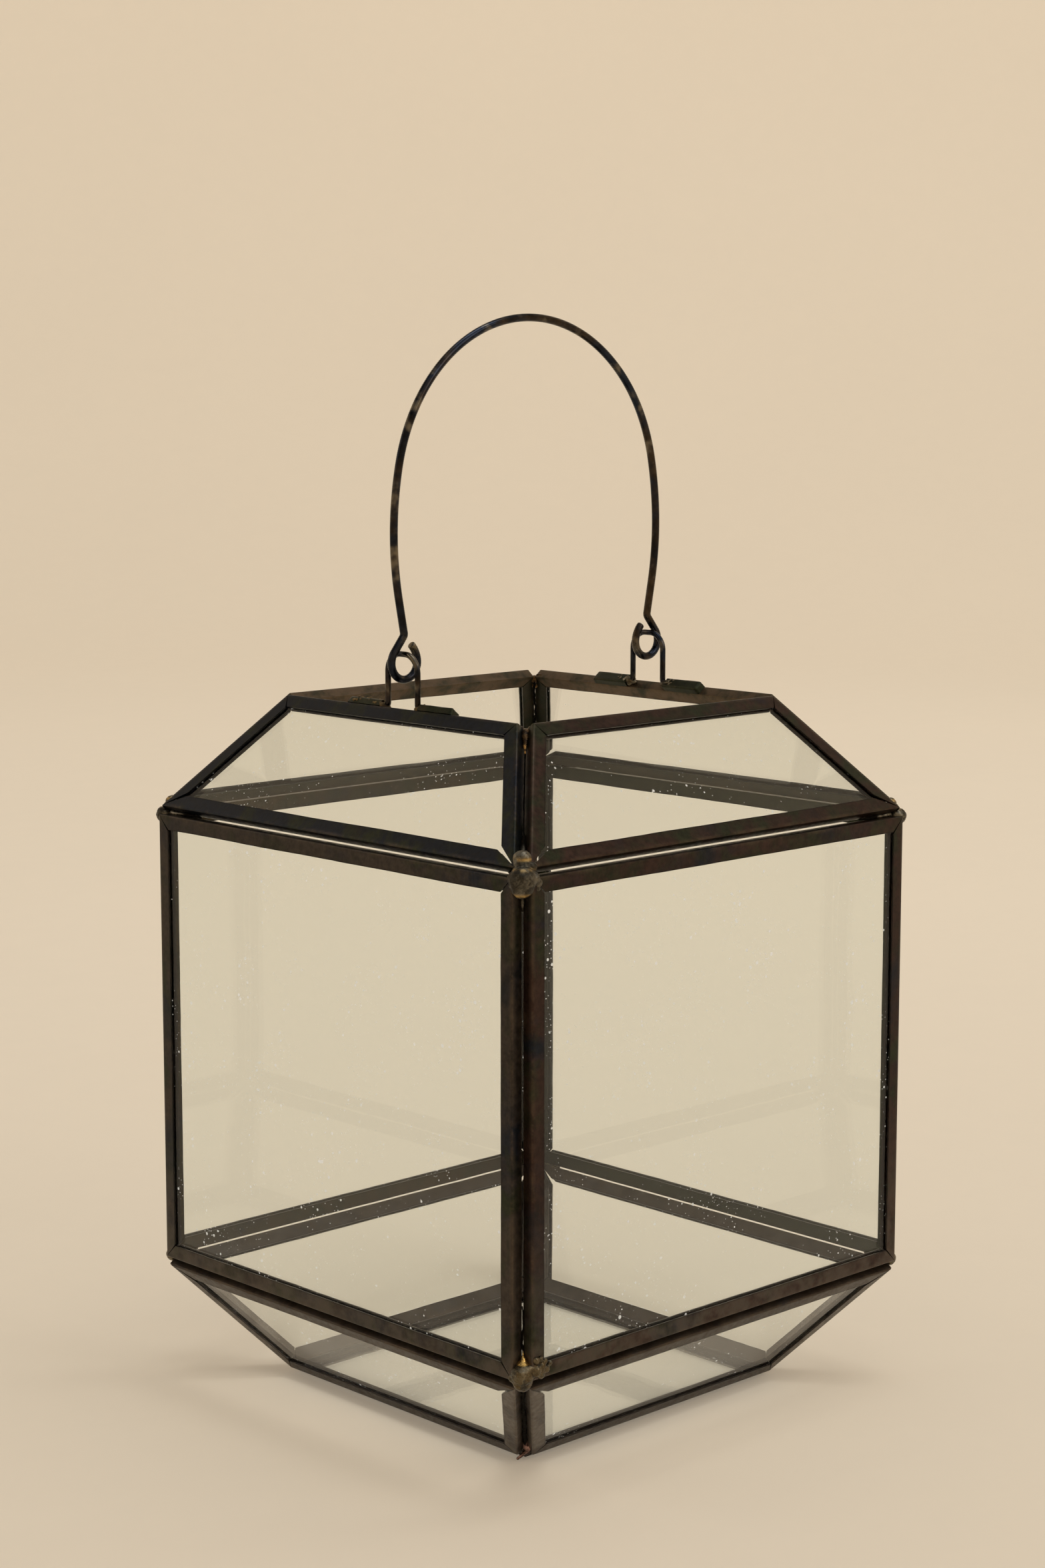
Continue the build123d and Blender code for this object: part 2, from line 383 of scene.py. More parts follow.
class Effects:
    """Node groups that more than one finish uses."""

    def __init__(self) -> None:
        """Builds each group once."""
        self.mottle = self.build_mottle()
        self.wear = self.build_wear()
        self.heat = self.build_heat()
        self.specks = self.build_specks()

    @staticmethod
    def build_mottle() -> Tree:
        """Cloudy patina: one tone in drifting patches of three others.

        Returns:
            The group's tree.
        """
        colours = {"Ground": "Color", "Second": "Color", "Third": "Color", "Fourth": "Color"}
        shares = {"Second Share": "Float", "Third Share": "Float", "Fourth Share": "Float"}
        graph, given, made = new_group(
            "patina_mottle", {"Vector": "Vector", "Size": "Float", **colours, **shares},
            {"Color": "Color", "Mask": "Float", "Height": "Float"})
        size = given["Size"]
        tone = given["Ground"]
        for index, (name, scale) in enumerate((("Second", 1.0), ("Third", 0.62), ("Fourth", 1.55))):
            shifted = graph.node("VectorMath", operation="ADD")
            graph.feed(shifted.inputs[0], given["Vector"])
            shifted.inputs[1].default_value = (0.37 * (index + 1), 0.71 * index, -0.29 * index)
            cloud = graph.noise(shifted.outputs[0], graph.math("MULTIPLY", size, scale), 5.0, 0.62, 0.6)
            edge = graph.math("SUBTRACT", 0.86, given[name + " Share"])
            open_share = graph.math("SUBTRACT", cloud, graph.math("MULTIPLY", edge, 0.8))
            tone = graph.blend(graph.math("MULTIPLY", open_share, 5.5, clamp=True), tone, given[name])
        fine = graph.noise(given["Vector"], graph.math("MULTIPLY", size, 11.0), 3.0, 0.6)
        grain = graph.noise(given["Vector"], graph.math("MULTIPLY", size, 38.0), 2.0, 0.5)
        shade = graph.spread(fine, 0.3, 0.7, 0.72, 1.25)
        grey = graph.node("CombineColor")
        for channel in grey.inputs:
            graph.feed(channel, shade)
        graph.feed(made["Color"], graph.blend(1.0, tone, grey.outputs[0], "MULTIPLY"))
        graph.feed(made["Mask"], fine)
        coarse, sharp = graph.math("MULTIPLY", fine, 0.65), graph.math("MULTIPLY", grain, 0.35)
        graph.feed(made["Height"], graph.math("ADD", coarse, sharp))
        return graph.tree

    @staticmethod
    def build_wear() -> Tree:
        """Rubbed edges: an edge mask broken up by noise.

        Returns:
            The group's tree.
        """
        graph, given, made = new_group(
            "edge_wear", {"Vector": "Vector", "Edge": "Float", "Amount": "Float"}, {"Mask": "Float"})
        patch = graph.noise(given["Vector"], 95.0, 4.0, 0.6)
        fine = graph.noise(given["Vector"], 900.0, 3.0, 0.65)
        broken = graph.math(
            "ADD", graph.spread(patch, 0.38, 0.66), graph.spread(fine, 0.45, 0.75, -0.25, 0.35))
        worn = graph.math("MULTIPLY", graph.math("MULTIPLY", given["Edge"], broken), given["Amount"])
        graph.feed(made["Mask"], graph.math("MINIMUM", graph.math("MAXIMUM", worn, 0.0), 1.0))
        return graph.tree

    @staticmethod
    def build_heat() -> Tree:
        """Heat colours on metal: straw, amber, purple and blue bands about a hot place.

        Returns:
            The group's tree.
        """
        graph, given, made = new_group(
            "heat_tint", {"Heat": "Float", "Metal": "Color", "Amount": "Float"}, {"Color": "Color"})
        bands = graph.ramp(given["Heat"], (
            (0.0, (0.10, 0.10, 0.105)), (0.22, (0.30, 0.24, 0.15)), (0.40, (0.42, 0.23, 0.07)),
            (0.55, (0.26, 0.10, 0.13)), (0.68, (0.12, 0.09, 0.26)), (0.82, (0.06, 0.13, 0.30)),
            (1.0, (0.10, 0.17, 0.24))))
        share = graph.math("MULTIPLY", graph.spread(given["Heat"], 0.02, 0.2), given["Amount"])
        graph.feed(made["Color"], graph.blend(share, given["Metal"], bands))
        return graph.tree

    @staticmethod
    def build_specks() -> Tree:
        """Dust: scattered specks, with short fine scratches between them.

        Returns:
            The group's tree.
        """
        graph, given, made = new_group(
            "dust_specks", {"Vector": "Vector", "Density": "Float"},
            {"Dust": "Float", "Scratch": "Float"})
        patch = graph.noise(given["Vector"], 60.0, 3.0, 0.6)
        grains = []
        for scale, low, high in ((260.0, 0.38, 0.75), (700.0, 0.3, 0.8)):
            largest = graph.math("MULTIPLY", graph.spread(patch, low, high), 0.16)
            grains.append(graph.math("LESS_THAN", graph.cells(given["Vector"], scale), largest))
        dust = graph.math("MULTIPLY", graph.math("MAXIMUM", *grains), given["Density"])
        graph.feed(made["Dust"], dust)
        lines = None
        for turn in (0.35, 1.3, 2.2):
            turned = graph.node("Mapping")
            graph.feed(turned.inputs["Vector"], given["Vector"])
            turned.inputs["Rotation"].default_value = (turn, turn * 0.7, turn)
            turned.inputs["Scale"].default_value = (22.0, 700.0, 700.0)
            hair = graph.spread(graph.noise(turned.outputs[0], 1.0, 1.0, 0.4), 0.74, 0.80)
            lines = hair if lines is None else graph.math("MAXIMUM", lines, hair)
        graph.feed(made["Scratch"], lines)
        return graph.tree


# ---------------------------------------------------------------- finishes


@dataclass(frozen=True)
class ChannelPatina:
    """Dark chemical patina on folded brass channel, in one wall's mix of tones."""

    name: str
    ground: Colour
    brown: Colour
    blue: Colour
    olive: Colour
    brown_share: float = 0.45
    blue_share: float = 0.4
    olive_share: float = 0.3
    wear: float = 0.5
    worn_tone: Colour = (0.13, 0.092, 0.060)
    pale_tone: Colour = (0.115, 0.096, 0.078)
    rough_low: float = 0.30
    rough_high: float = 0.48
    size: float = 60.0
    drawn_scale: tuple[float, float, float] = (1.2, 26.0, 1.0)
    line_dark: Colour = (0.35, 0.33, 0.33)
    line_pale: Colour = (1.0, 0.98, 0.95)
    line_share: float = 0.35
    # Near-black at the flange lips: partly grime, partly painted shade of the dark line where a flange
    # meets the glass.
    lip_grime_and_shade_share: float = 0.55
    lip_grime_and_shade_tone: Colour = (0.008, 0.006, 0.005)
    bump_strength: float = 0.35
    bump_depth: float = 0.12 * MM

    def material(self, effects: Effects, shift: float) -> Material:
        """Builds the finish.

        Args:
            effects: The shared node groups.
            shift: Moves the pattern, so that walls differ.

        Returns:
            The material.
        """
        material, graph, shader = new_material(self.name, Metallic=0.72, IOR=1.45)
        where = graph.place(Vector((shift, shift * 0.6, -shift)))
        mottle = graph.group(
            effects.mottle, Vector=where, Size=self.size, Ground=self.ground, Second=self.brown,
            Third=self.blue, Fourth=self.olive, Second_Share=self.brown_share,
            Third_Share=self.blue_share, Fourth_Share=self.olive_share)
        streak = graph.node("UVMap", uv_map="rail")
        drawn = graph.node("Mapping")
        graph.feed(drawn.inputs["Vector"], streak.outputs[0])
        drawn.inputs["Scale"].default_value = self.drawn_scale
        lines = graph.noise(drawn.outputs[0], 9.0, 4.0, 0.6)
        lined = graph.ramp(lines, ((0.3, self.line_dark), (0.7, self.line_pale)))
        toned = graph.blend(self.line_share, mottle.outputs["Color"], lined, "MULTIPLY")
        cloud = graph.spread(graph.noise(where, 140.0, 4.0, 0.6), 0.30, 0.62)
        greyed = graph.blend(graph.math("MULTIPLY", graph.mask("pale"), cloud), toned, self.pale_tone)
        wear = graph.group(effects.wear, Vector=where, Edge=graph.mask("fold"), Amount=self.wear)
        rubbed = graph.blend(wear.outputs["Mask"], greyed, self.worn_tone)
        # The lips darken towards near-black: partly grime, partly painted shade where the flange meets
        # the glass.
        lip_grime_and_shade = graph.math("MULTIPLY", graph.mask("lip"), self.lip_grime_and_shade_share)
        graph.feed(shader.inputs["Base Color"], graph.blend(lip_grime_and_shade, rubbed, self.lip_grime_and_shade_tone))
        rough = graph.spread(mottle.outputs["Mask"], 0.25, 0.75, self.rough_low, self.rough_high)
        graph.feed(shader.inputs["Roughness"], rough)
        height = graph.math("ADD", mottle.outputs["Height"], graph.math("MULTIPLY", lines, 0.25))
        graph.feed(shader.inputs["Normal"], graph.bump(height, self.bump_strength, self.bump_depth))
        return material


@dataclass(frozen=True)
class PaneGlass:
    """Clear window glass with a faint cool tint, dust and hair scratches; the dust specks glow with
    painted light.
    """

    name: str
    tint: Colour = (0.950, 0.975, 0.965)
    ior: float = 1.36
    dust_rough: float = 0.35
    dust_tone: Colour = (0.10, 0.095, 0.09)
    # Painted light: strength and colour of the glow that lights up the dust specks.
    painted_speck_glow: float = 0.52
    painted_speck_light_tone: Colour = (0.9, 0.85, 0.75)
    scratch_share: float = 0.1
    shadow_tone: Colour = (0.988, 0.992, 0.988)
    bump_strength: float = 0.05
    bump_depth: float = 1.2 * MM

    def material(self, effects: Effects, shift: float) -> Material:
        """Builds the finish.

        Args:
            effects: The shared node groups.
            shift: Moves the pattern, so that panes differ.

        Returns:
            The material.
        """
        material, graph, shader = new_material(
            self.name, Metallic=0.0, Transmission_Weight=1.0, IOR=self.ior)
        where = graph.place(Vector((shift, -shift, shift * 0.5)))
        specks = graph.group(effects.specks, Vector=where, Density=1.0)
        dust = specks.outputs["Dust"]
        scratch = graph.math("MULTIPLY", specks.outputs["Scratch"], self.scratch_share)
        dull = graph.math("MAXIMUM", dust, scratch)
        graph.feed(shader.inputs["Base Color"], graph.blend(dust, self.tint, self.dust_tone))
        # Painted light: the dust specks glow, so they look bright under any lamps.
        shader.inputs["Emission Strength"].default_value = self.painted_speck_glow
        graph.feed(shader.inputs["Emission Color"], graph.blend(dust, (0.0, 0.0, 0.0), self.painted_speck_light_tone))
        graph.feed(shader.inputs["Roughness"], graph.math("MULTIPLY", dull, self.dust_rough))
        ripple = graph.noise(where, 26.0, 2.0, 0.4)
        graph.feed(shader.inputs["Normal"], graph.bump(ripple, self.bump_strength, self.bump_depth))
        clear = graph.node("BsdfTransparent")
        graph.feed(clear.inputs["Color"], self.shadow_tone)
        seen = shader.outputs[0]
        path = graph.node("LightPath")
        for kind in ("Is Diffuse Ray", "Is Shadow Ray"):
            choice = graph.node("MixShader")
            graph.feed(choice.inputs[0], path.outputs[kind])
            graph.feed(choice.inputs[1], seen)
            graph.feed(choice.inputs[2], clear.outputs[0])
            seen = choice.outputs[0]
        graph.feed(graph.tree.nodes["Material Output"].inputs["Surface"], seen)
        return material


@dataclass(frozen=True)
class SolderFinish:
    """Solder darkened by patina, with lighter brass showing in places and, on the upper shoulders, gold
    bands painted on as highlights.
    """

    name: str
    metal: Colour
    dark: Colour
    glint: Colour
    glint_share: float = 0.35
    dark_share: float = 0.5
    rough_low: float = 0.22
    rough_high: float = 0.45
    seam_tone: Colour = (0.010, 0.008, 0.006)
    seam_rough: float = 0.85
    bump_strength: float = 0.45
    bump_depth: float = 0.18 * MM

    def material(self, effects: Effects, shift: float) -> Material:
        """Builds the finish.

        Args:
            effects: The shared node groups.
            shift: Moves the pattern.

        Returns:
            The material.
        """
        material, graph, shader = new_material(self.name, Metallic=0.95, IOR=1.45)
        where = graph.place(Vector((shift, shift, shift)))
        mottle = graph.group(
            effects.mottle, Vector=where, Size=170.0, Ground=self.metal, Second=self.dark,
            Third=self.glint, Fourth=self.dark, Second_Share=self.dark_share,
            Third_Share=self.glint_share, Fourth_Share=self.dark_share * 0.6)
        patch = graph.spread(graph.noise(where, 420.0, 3.0, 0.6), 0.36, 0.56)
        # Lighter metal where the mask asks: brass at some corners, painted highlight bands on the upper
        # shoulders.
        shown = graph.math("MULTIPLY", graph.mask("fresh"), patch)
        metal_and_glint_coloured = graph.blend(shown, mottle.outputs["Color"], self.glint)
        graph.feed(shader.inputs["Base Color"], graph.blend(graph.mask("seam"), metal_and_glint_coloured, self.seam_tone))
        rough = graph.spread(mottle.outputs["Mask"], 0.3, 0.7, self.rough_low, self.rough_high)
        matt = graph.math("MULTIPLY", graph.mask("seam"), self.seam_rough)
        graph.feed(shader.inputs["Roughness"], graph.math("MAXIMUM", rough, matt))
        height = mottle.outputs["Height"]
        graph.feed(shader.inputs["Normal"], graph.bump(height, self.bump_strength, self.bump_depth))
        return material


@dataclass(frozen=True)
class WireFinish:
    """Gunmetal wire, polished by handling and tinted by the torch near its bends."""

    name: str
    metal: Colour = (0.030, 0.028, 0.028)
    dark: Colour = (0.014, 0.012, 0.011)
    steel: Colour = (0.022, 0.027, 0.040)
    bronze: Colour = (0.050, 0.036, 0.024)
    rough_low: float = 0.14
    rough_high: float = 0.26
    bump_strength: float = 0.25
    bump_depth: float = 0.06 * MM

    def material(self, effects: Effects, shift: float) -> Material:
        """Builds the finish.

        Args:
            effects: The shared node groups.
            shift: Moves the pattern.

        Returns:
            The material.
        """
        material, graph, shader = new_material(self.name, Metallic=1.0, IOR=1.45)
        where = graph.place(Vector((shift, 0, shift)))
        mottle = graph.group(
            effects.mottle, Vector=where, Size=38.0, Ground=self.metal, Second=self.dark,
            Third=self.steel, Fourth=self.bronze, Second_Share=0.5, Third_Share=0.38, Fourth_Share=0.3)
        wave = graph.noise(where, 120.0, 3.0, 0.6)
        drift = graph.spread(wave, 0.3, 0.7, -0.16, 0.16)
        heat = graph.math("ADD", graph.mask("heat"), drift, clamp=True)
        tint = graph.group(effects.heat, Heat=heat, Metal=mottle.outputs["Color"], Amount=0.8)
        graph.feed(shader.inputs["Base Color"], tint.outputs["Color"])
        rough = graph.spread(mottle.outputs["Mask"], 0.3, 0.7, self.rough_low, self.rough_high)
        graph.feed(shader.inputs["Roughness"], rough)
        height = mottle.outputs["Height"]
        graph.feed(shader.inputs["Normal"], graph.bump(height, self.bump_strength, self.bump_depth))
        return material


@dataclass(frozen=True)
class StagePaper:
    """Matt cream paper of the studio sweep."""

    name: str = "cream_paper"
    tone: Colour = (0.708, 0.628, 0.512)
    glow: float = 0.24

    def material(self) -> Material:
        """Builds the finish.

        Returns:
            The material.
        """
        material, graph, shader = new_material(
            self.name, Roughness=0.95, IOR=1.3, Emission_Color=self.tone, Emission_Strength=self.glow)
        where = graph.place()
        cloud = graph.noise(where, 1.6, 3.0, 0.5)
        fibre = graph.noise(where, 46.0, 4.0, 0.6)
        paler = tuple(channel * 1.10 for channel in self.tone)
        share = graph.math("ADD", graph.math("MULTIPLY", cloud, 0.6), graph.math("MULTIPLY", fibre, 0.3))
        graph.feed(shader.inputs["Base Color"], graph.blend(share, self.tone, paler))
        return material


# ---------------------------------------------------------------- making pieces


class Sculpt:
    """Mesh steps that several sub-assemblies share."""

    @staticmethod
    def piece(bm: BMesh, name: str, material: Material, sharp: float = 38.0) -> bpy.types.Object:
        """Turns a bmesh into a finished object at the origin.

        Args:
            bm: The shape, which is freed.
            name: Name of the piece.
            material: Its finish.
            sharp: Edges with a sharper turn than this many degrees stay crisp.

        Returns:
            The object.
        """
        mesh = bpy.data.meshes.new(name)
        bm.to_mesh(mesh)
        bm.free()
        mesh.shade_smooth()
        mesh.set_sharp_from_angle(angle=math.radians(sharp))
        mesh.materials.append(material)
        made = bpy.data.objects.new(name, mesh)
        bpy.context.scene.collection.objects.link(made)
        LOG.info("piece %s: %d faces", name, len(mesh.polygons))
        return made

    @staticmethod
    def rounded(bm: BMesh, edges: list[bmesh.types.BMEdge], radius: float, segments: int) -> None:
        """Rounds edges.

        Args:
            bm: The shape.
            edges: Which edges.
            radius: How far the rounding reaches from each edge.
            segments: In how many steps.
        """
        bmesh.ops.bevel(
            bm, geom=edges, offset=radius, offset_type="OFFSET", segments=segments, profile=0.5,
            affect="EDGES", material=-1)

    @staticmethod
    def mask(bm: BMesh, name: str, share: Callable[[Vector], float]) -> None:
        """Writes one of the masks that the finishes read.

        Args:
            bm: The shape.
            name: The mask's name.
            share: The mask's value at a place.
        """
        layer = bm.verts.layers.float.new(name)
        for vert in bm.verts:
            vert[layer] = share(vert.co)

    @staticmethod
    def join(target: BMesh, part: BMesh, matrix: Matrix) -> None:
        """Adds a part to a target bmesh, placed by a matrix.

        Args:
            target: The bmesh that grows.
            part: The bmesh that is added and freed.
            matrix: Where the part goes.
        """
        part.transform(matrix)
        carrier = bpy.data.meshes.new("carrier")
        part.to_mesh(carrier)
        part.free()
        target.from_mesh(carrier)
        bpy.data.meshes.remove(carrier)

    @staticmethod
    def wobble(bm: BMesh, amount: float, scale: float, seed: float,
               share: Callable[[Vector], float] = lambda place: 1.0) -> None:
        """Moves every vertex a little by smooth noise, as in work done by hand.

        Args:
            bm: The shape.
            amount: Largest move in metres.
            scale: Waves per metre.
            seed: Offset of the noise.
            share: How much of the move a place gets.
        """
        drift = Vector((seed, seed * 1.7, -seed))
        for vert in bm.verts:
            step = noise.noise_vector(vert.co * scale + drift)
            vert.co += step * amount * share(vert.co)

    @staticmethod
    def melted(drops: Drops, voxel: float, smoothing: int) -> BMesh:
        """One skin over many balls, as of solder that ran together.

        Args:
            drops: Places and radii of the balls.
            voxel: Grid size of the skin in metres.
            smoothing: Rounds of smoothing.

        Returns:
            The skin.
        """
        bm = bmesh.new()
        for place, radius in drops:
            bmesh.ops.create_icosphere(
                bm, subdivisions=2, radius=radius, matrix=Matrix.Translation(place))
        mesh = bpy.data.meshes.new("drops")
        bm.to_mesh(mesh)
        bm.free()
        holder = bpy.data.objects.new("drops", mesh)
        bpy.context.scene.collection.objects.link(holder)
        skin = holder.modifiers.new("skin", "REMESH")
        skin.mode = "VOXEL"
        skin.voxel_size = voxel
        depsgraph = bpy.context.evaluated_depsgraph_get()
        fused = bpy.data.meshes.new_from_object(holder.evaluated_get(depsgraph))
        bpy.data.objects.remove(holder)
        bpy.data.meshes.remove(mesh)
        result = bmesh.new()
        result.from_mesh(fused)
        bpy.data.meshes.remove(fused)
        for _ in range(smoothing):
            bmesh.ops.smooth_vert(
                result, verts=result.verts[:], factor=0.5,
                use_axis_x=True, use_axis_y=True, use_axis_z=True)
        return result


@dataclass
class WirePath:
    """A round wire bent in the XZ plane, started at a point with a heading."""

    start: Vector
    heading: float
    diameter: float
    ring: int = 20

    def __post_init__(self) -> None:
        """Makes the first ring of the wire."""
        self.bm = bmesh.new()
        self.angle = self.heading
        self.point = self.start.copy()
        facing = Matrix.Rotation(math.radians(90), 4, "Y")
        turned = Matrix.Rotation(-math.radians(self.heading), 4, "Y")
        bmesh.ops.create_circle(
            self.bm, cap_ends=False, segments=self.ring, radius=self.diameter / 2,
            matrix=Matrix.Translation(self.start) @ turned @ facing)
        self.last = self.bm.edges[:]

    def direction(self) -> Vector:
        """The way the wire is heading."""
        turn = math.radians(self.angle)
        return Vector((math.cos(turn), 0, math.sin(turn)))

    def straight(self, length: float, cuts: int) -> None:
        """Runs the wire straight on.

        Args:
            length: How far.
            cuts: In how many steps.
        """
        step = self.direction() * (length / cuts)
        for _ in range(cuts):
            grown = bmesh.ops.extrude_edge_only(self.bm, edges=self.last)["geom"]
            bmesh.ops.translate(self.bm, verts=only(bmesh.types.BMVert, grown), vec=step)
            self.last = only(bmesh.types.BMEdge, grown)
        self.point += step * cuts

    def arc(self, radius: float, turn: float, steps: int) -> None:
        """Bends the wire round an arc.

        Args:
            radius: Radius of the wire's middle line.
            turn: Turn in degrees, positive to the left of the heading.
            steps: In how many steps.
        """
        side = math.copysign(1.0, turn)
        heading = self.direction()
        centre = self.point + Vector((-heading.z, 0, heading.x)) * (radius * side)
        rings = [item for edge in self.last for item in (edge, *edge.verts)]
        swept = bmesh.ops.spin(
            self.bm, geom=list(dict.fromkeys(rings)), cent=centre, axis=(0, -1, 0),
            angle=math.radians(turn), steps=steps, use_merge=False, use_duplicate=False)
        self.last = only(bmesh.types.BMEdge, swept["geom_last"])
        spun = Matrix.Rotation(math.radians(turn), 3, Vector((0, -1, 0)))
        self.point = centre + spun @ (self.point - centre)
        self.angle += turn

    def close(self, rounding: float) -> None:
        """Closes the last ring with a softly rounded end.

        Args:
            rounding: Radius of the end's edge.
        """
        cap = bmesh.ops.contextual_create(self.bm, geom=self.last)["faces"]
        rim = [edge for face in cap for edge in face.edges]
        Sculpt.rounded(self.bm, rim, rounding, 3)

    def mirrored(self) -> BMesh:
        """The wire with its mirror image across the YZ plane, as one closed skin.

        Returns:
            The whole wire.
        """
        bmesh.ops.mirror(
            self.bm, geom=self.bm.verts[:] + self.bm.edges[:] + self.bm.faces[:],
            matrix=Matrix.Identity(4), merge_dist=MERGE, axis="X")
        bmesh.ops.remove_doubles(self.bm, verts=self.bm.verts[:], dist=MERGE)
        bmesh.ops.recalc_face_normals(self.bm, faces=self.bm.faces[:])
        return self.bm


# ---------------------------------------------------------------- walls


@dataclass(frozen=True)
class Wall:
    """One flat pane's place: its corners in its own plane, in order, and the way to the lantern."""

    name: str
    outline: tuple[Vector, Vector, Vector, Vector]
    matrix: Matrix

    def sides(self) -> list[tuple[Vector, Vector, float, float]]:
        """The four sides in order.

        Returns:
            Start, end, and the inner angles at the start and at the end in radians.
        """
        corners = self.outline
        angles = []
        for index, corner in enumerate(corners):
            before = corners[index - 1] - corner
            after = corners[(index + 1) % 4] - corner
            angles.append(before.angle(after))
        return [
            (corners[i], corners[(i + 1) % 4], angles[i], angles[(i + 1) % 4]) for i in range(4)]


@dataclass(frozen=True)
class BodyShape:
    """The closed shape that the inner faces of the panes form."""

    body_half: float = 76.4 * MM
    rim_half: float = 49.2 * MM
    base_half: float = 50.2 * MM
    lower_z: float = 36.4 * MM
    upper_z: float = 172.8 * MM
    rim_z: float = 206.4 * MM
    base_z: float = 3.6 * MM

    def wall(self, level: Level, facing: Facing) -> Wall:
        """One of the twelve walls.

        Args:
            level: Which ring.
            facing: Which way it faces.

        Returns:
            The wall.
        """
        low_half, low_z, high_half, high_z = {
            Level.TOP: (self.body_half, self.upper_z, self.rim_half, self.rim_z),
            Level.SIDE: (self.body_half, self.lower_z, self.body_half, self.upper_z),
            Level.BOTTOM: (self.base_half, self.base_z, self.body_half, self.lower_z),
        }[level]
        up_slope = Vector((0, low_half - high_half, high_z - low_z))
        height = up_slope.length
        up_slope.normalize()
        normal = Vector((1, 0, 0)).cross(up_slope)
        middle = Vector((0, -(low_half + high_half) / 2, (low_z + high_z) / 2))
        outline = (
            Vector((-low_half, -height / 2, 0)), Vector((low_half, -height / 2, 0)),
            Vector((high_half, height / 2, 0)), Vector((-high_half, height / 2, 0)))
        turn = Matrix.Rotation(math.radians(facing.value), 4, "Z")
        matrix = turn @ self.placed(middle, Vector((1, 0, 0)), up_slope, normal)
        return Wall(level.value + "_" + facing.name.lower(), outline, matrix)

    def base(self) -> Wall:
        """The base pane, which faces down."""
        half = self.base_half
        outline = tuple(Vector((x * half, y * half, 0)) for x, y in ((-1, -1), (1, -1), (1, 1), (-1, 1)))
        middle = Vector((0, 0, self.base_z))
        matrix = self.placed(middle, Vector((1, 0, 0)), Vector((0, -1, 0)), Vector((0, 0, -1)))
        return Wall("base", outline, matrix)

    def walls(self) -> list[Wall]:
        """All thirteen walls."""
        return [self.wall(level, facing) for level in Level for facing in Facing] + [self.base()]

    @staticmethod
    def placed(origin: Vector, x_axis: Vector, y_axis: Vector, z_axis: Vector) -> Matrix:
        """The matrix of a frame with these axes.

        Args:
            origin: Its origin.
            x_axis: Its x axis.
            y_axis: Its y axis.
            z_axis: Its z axis.

        Returns:
            The matrix.
        """
        turned = Matrix((x_axis, y_axis, z_axis)).transposed().to_4x4()
        return Matrix.Translation(origin) @ turned


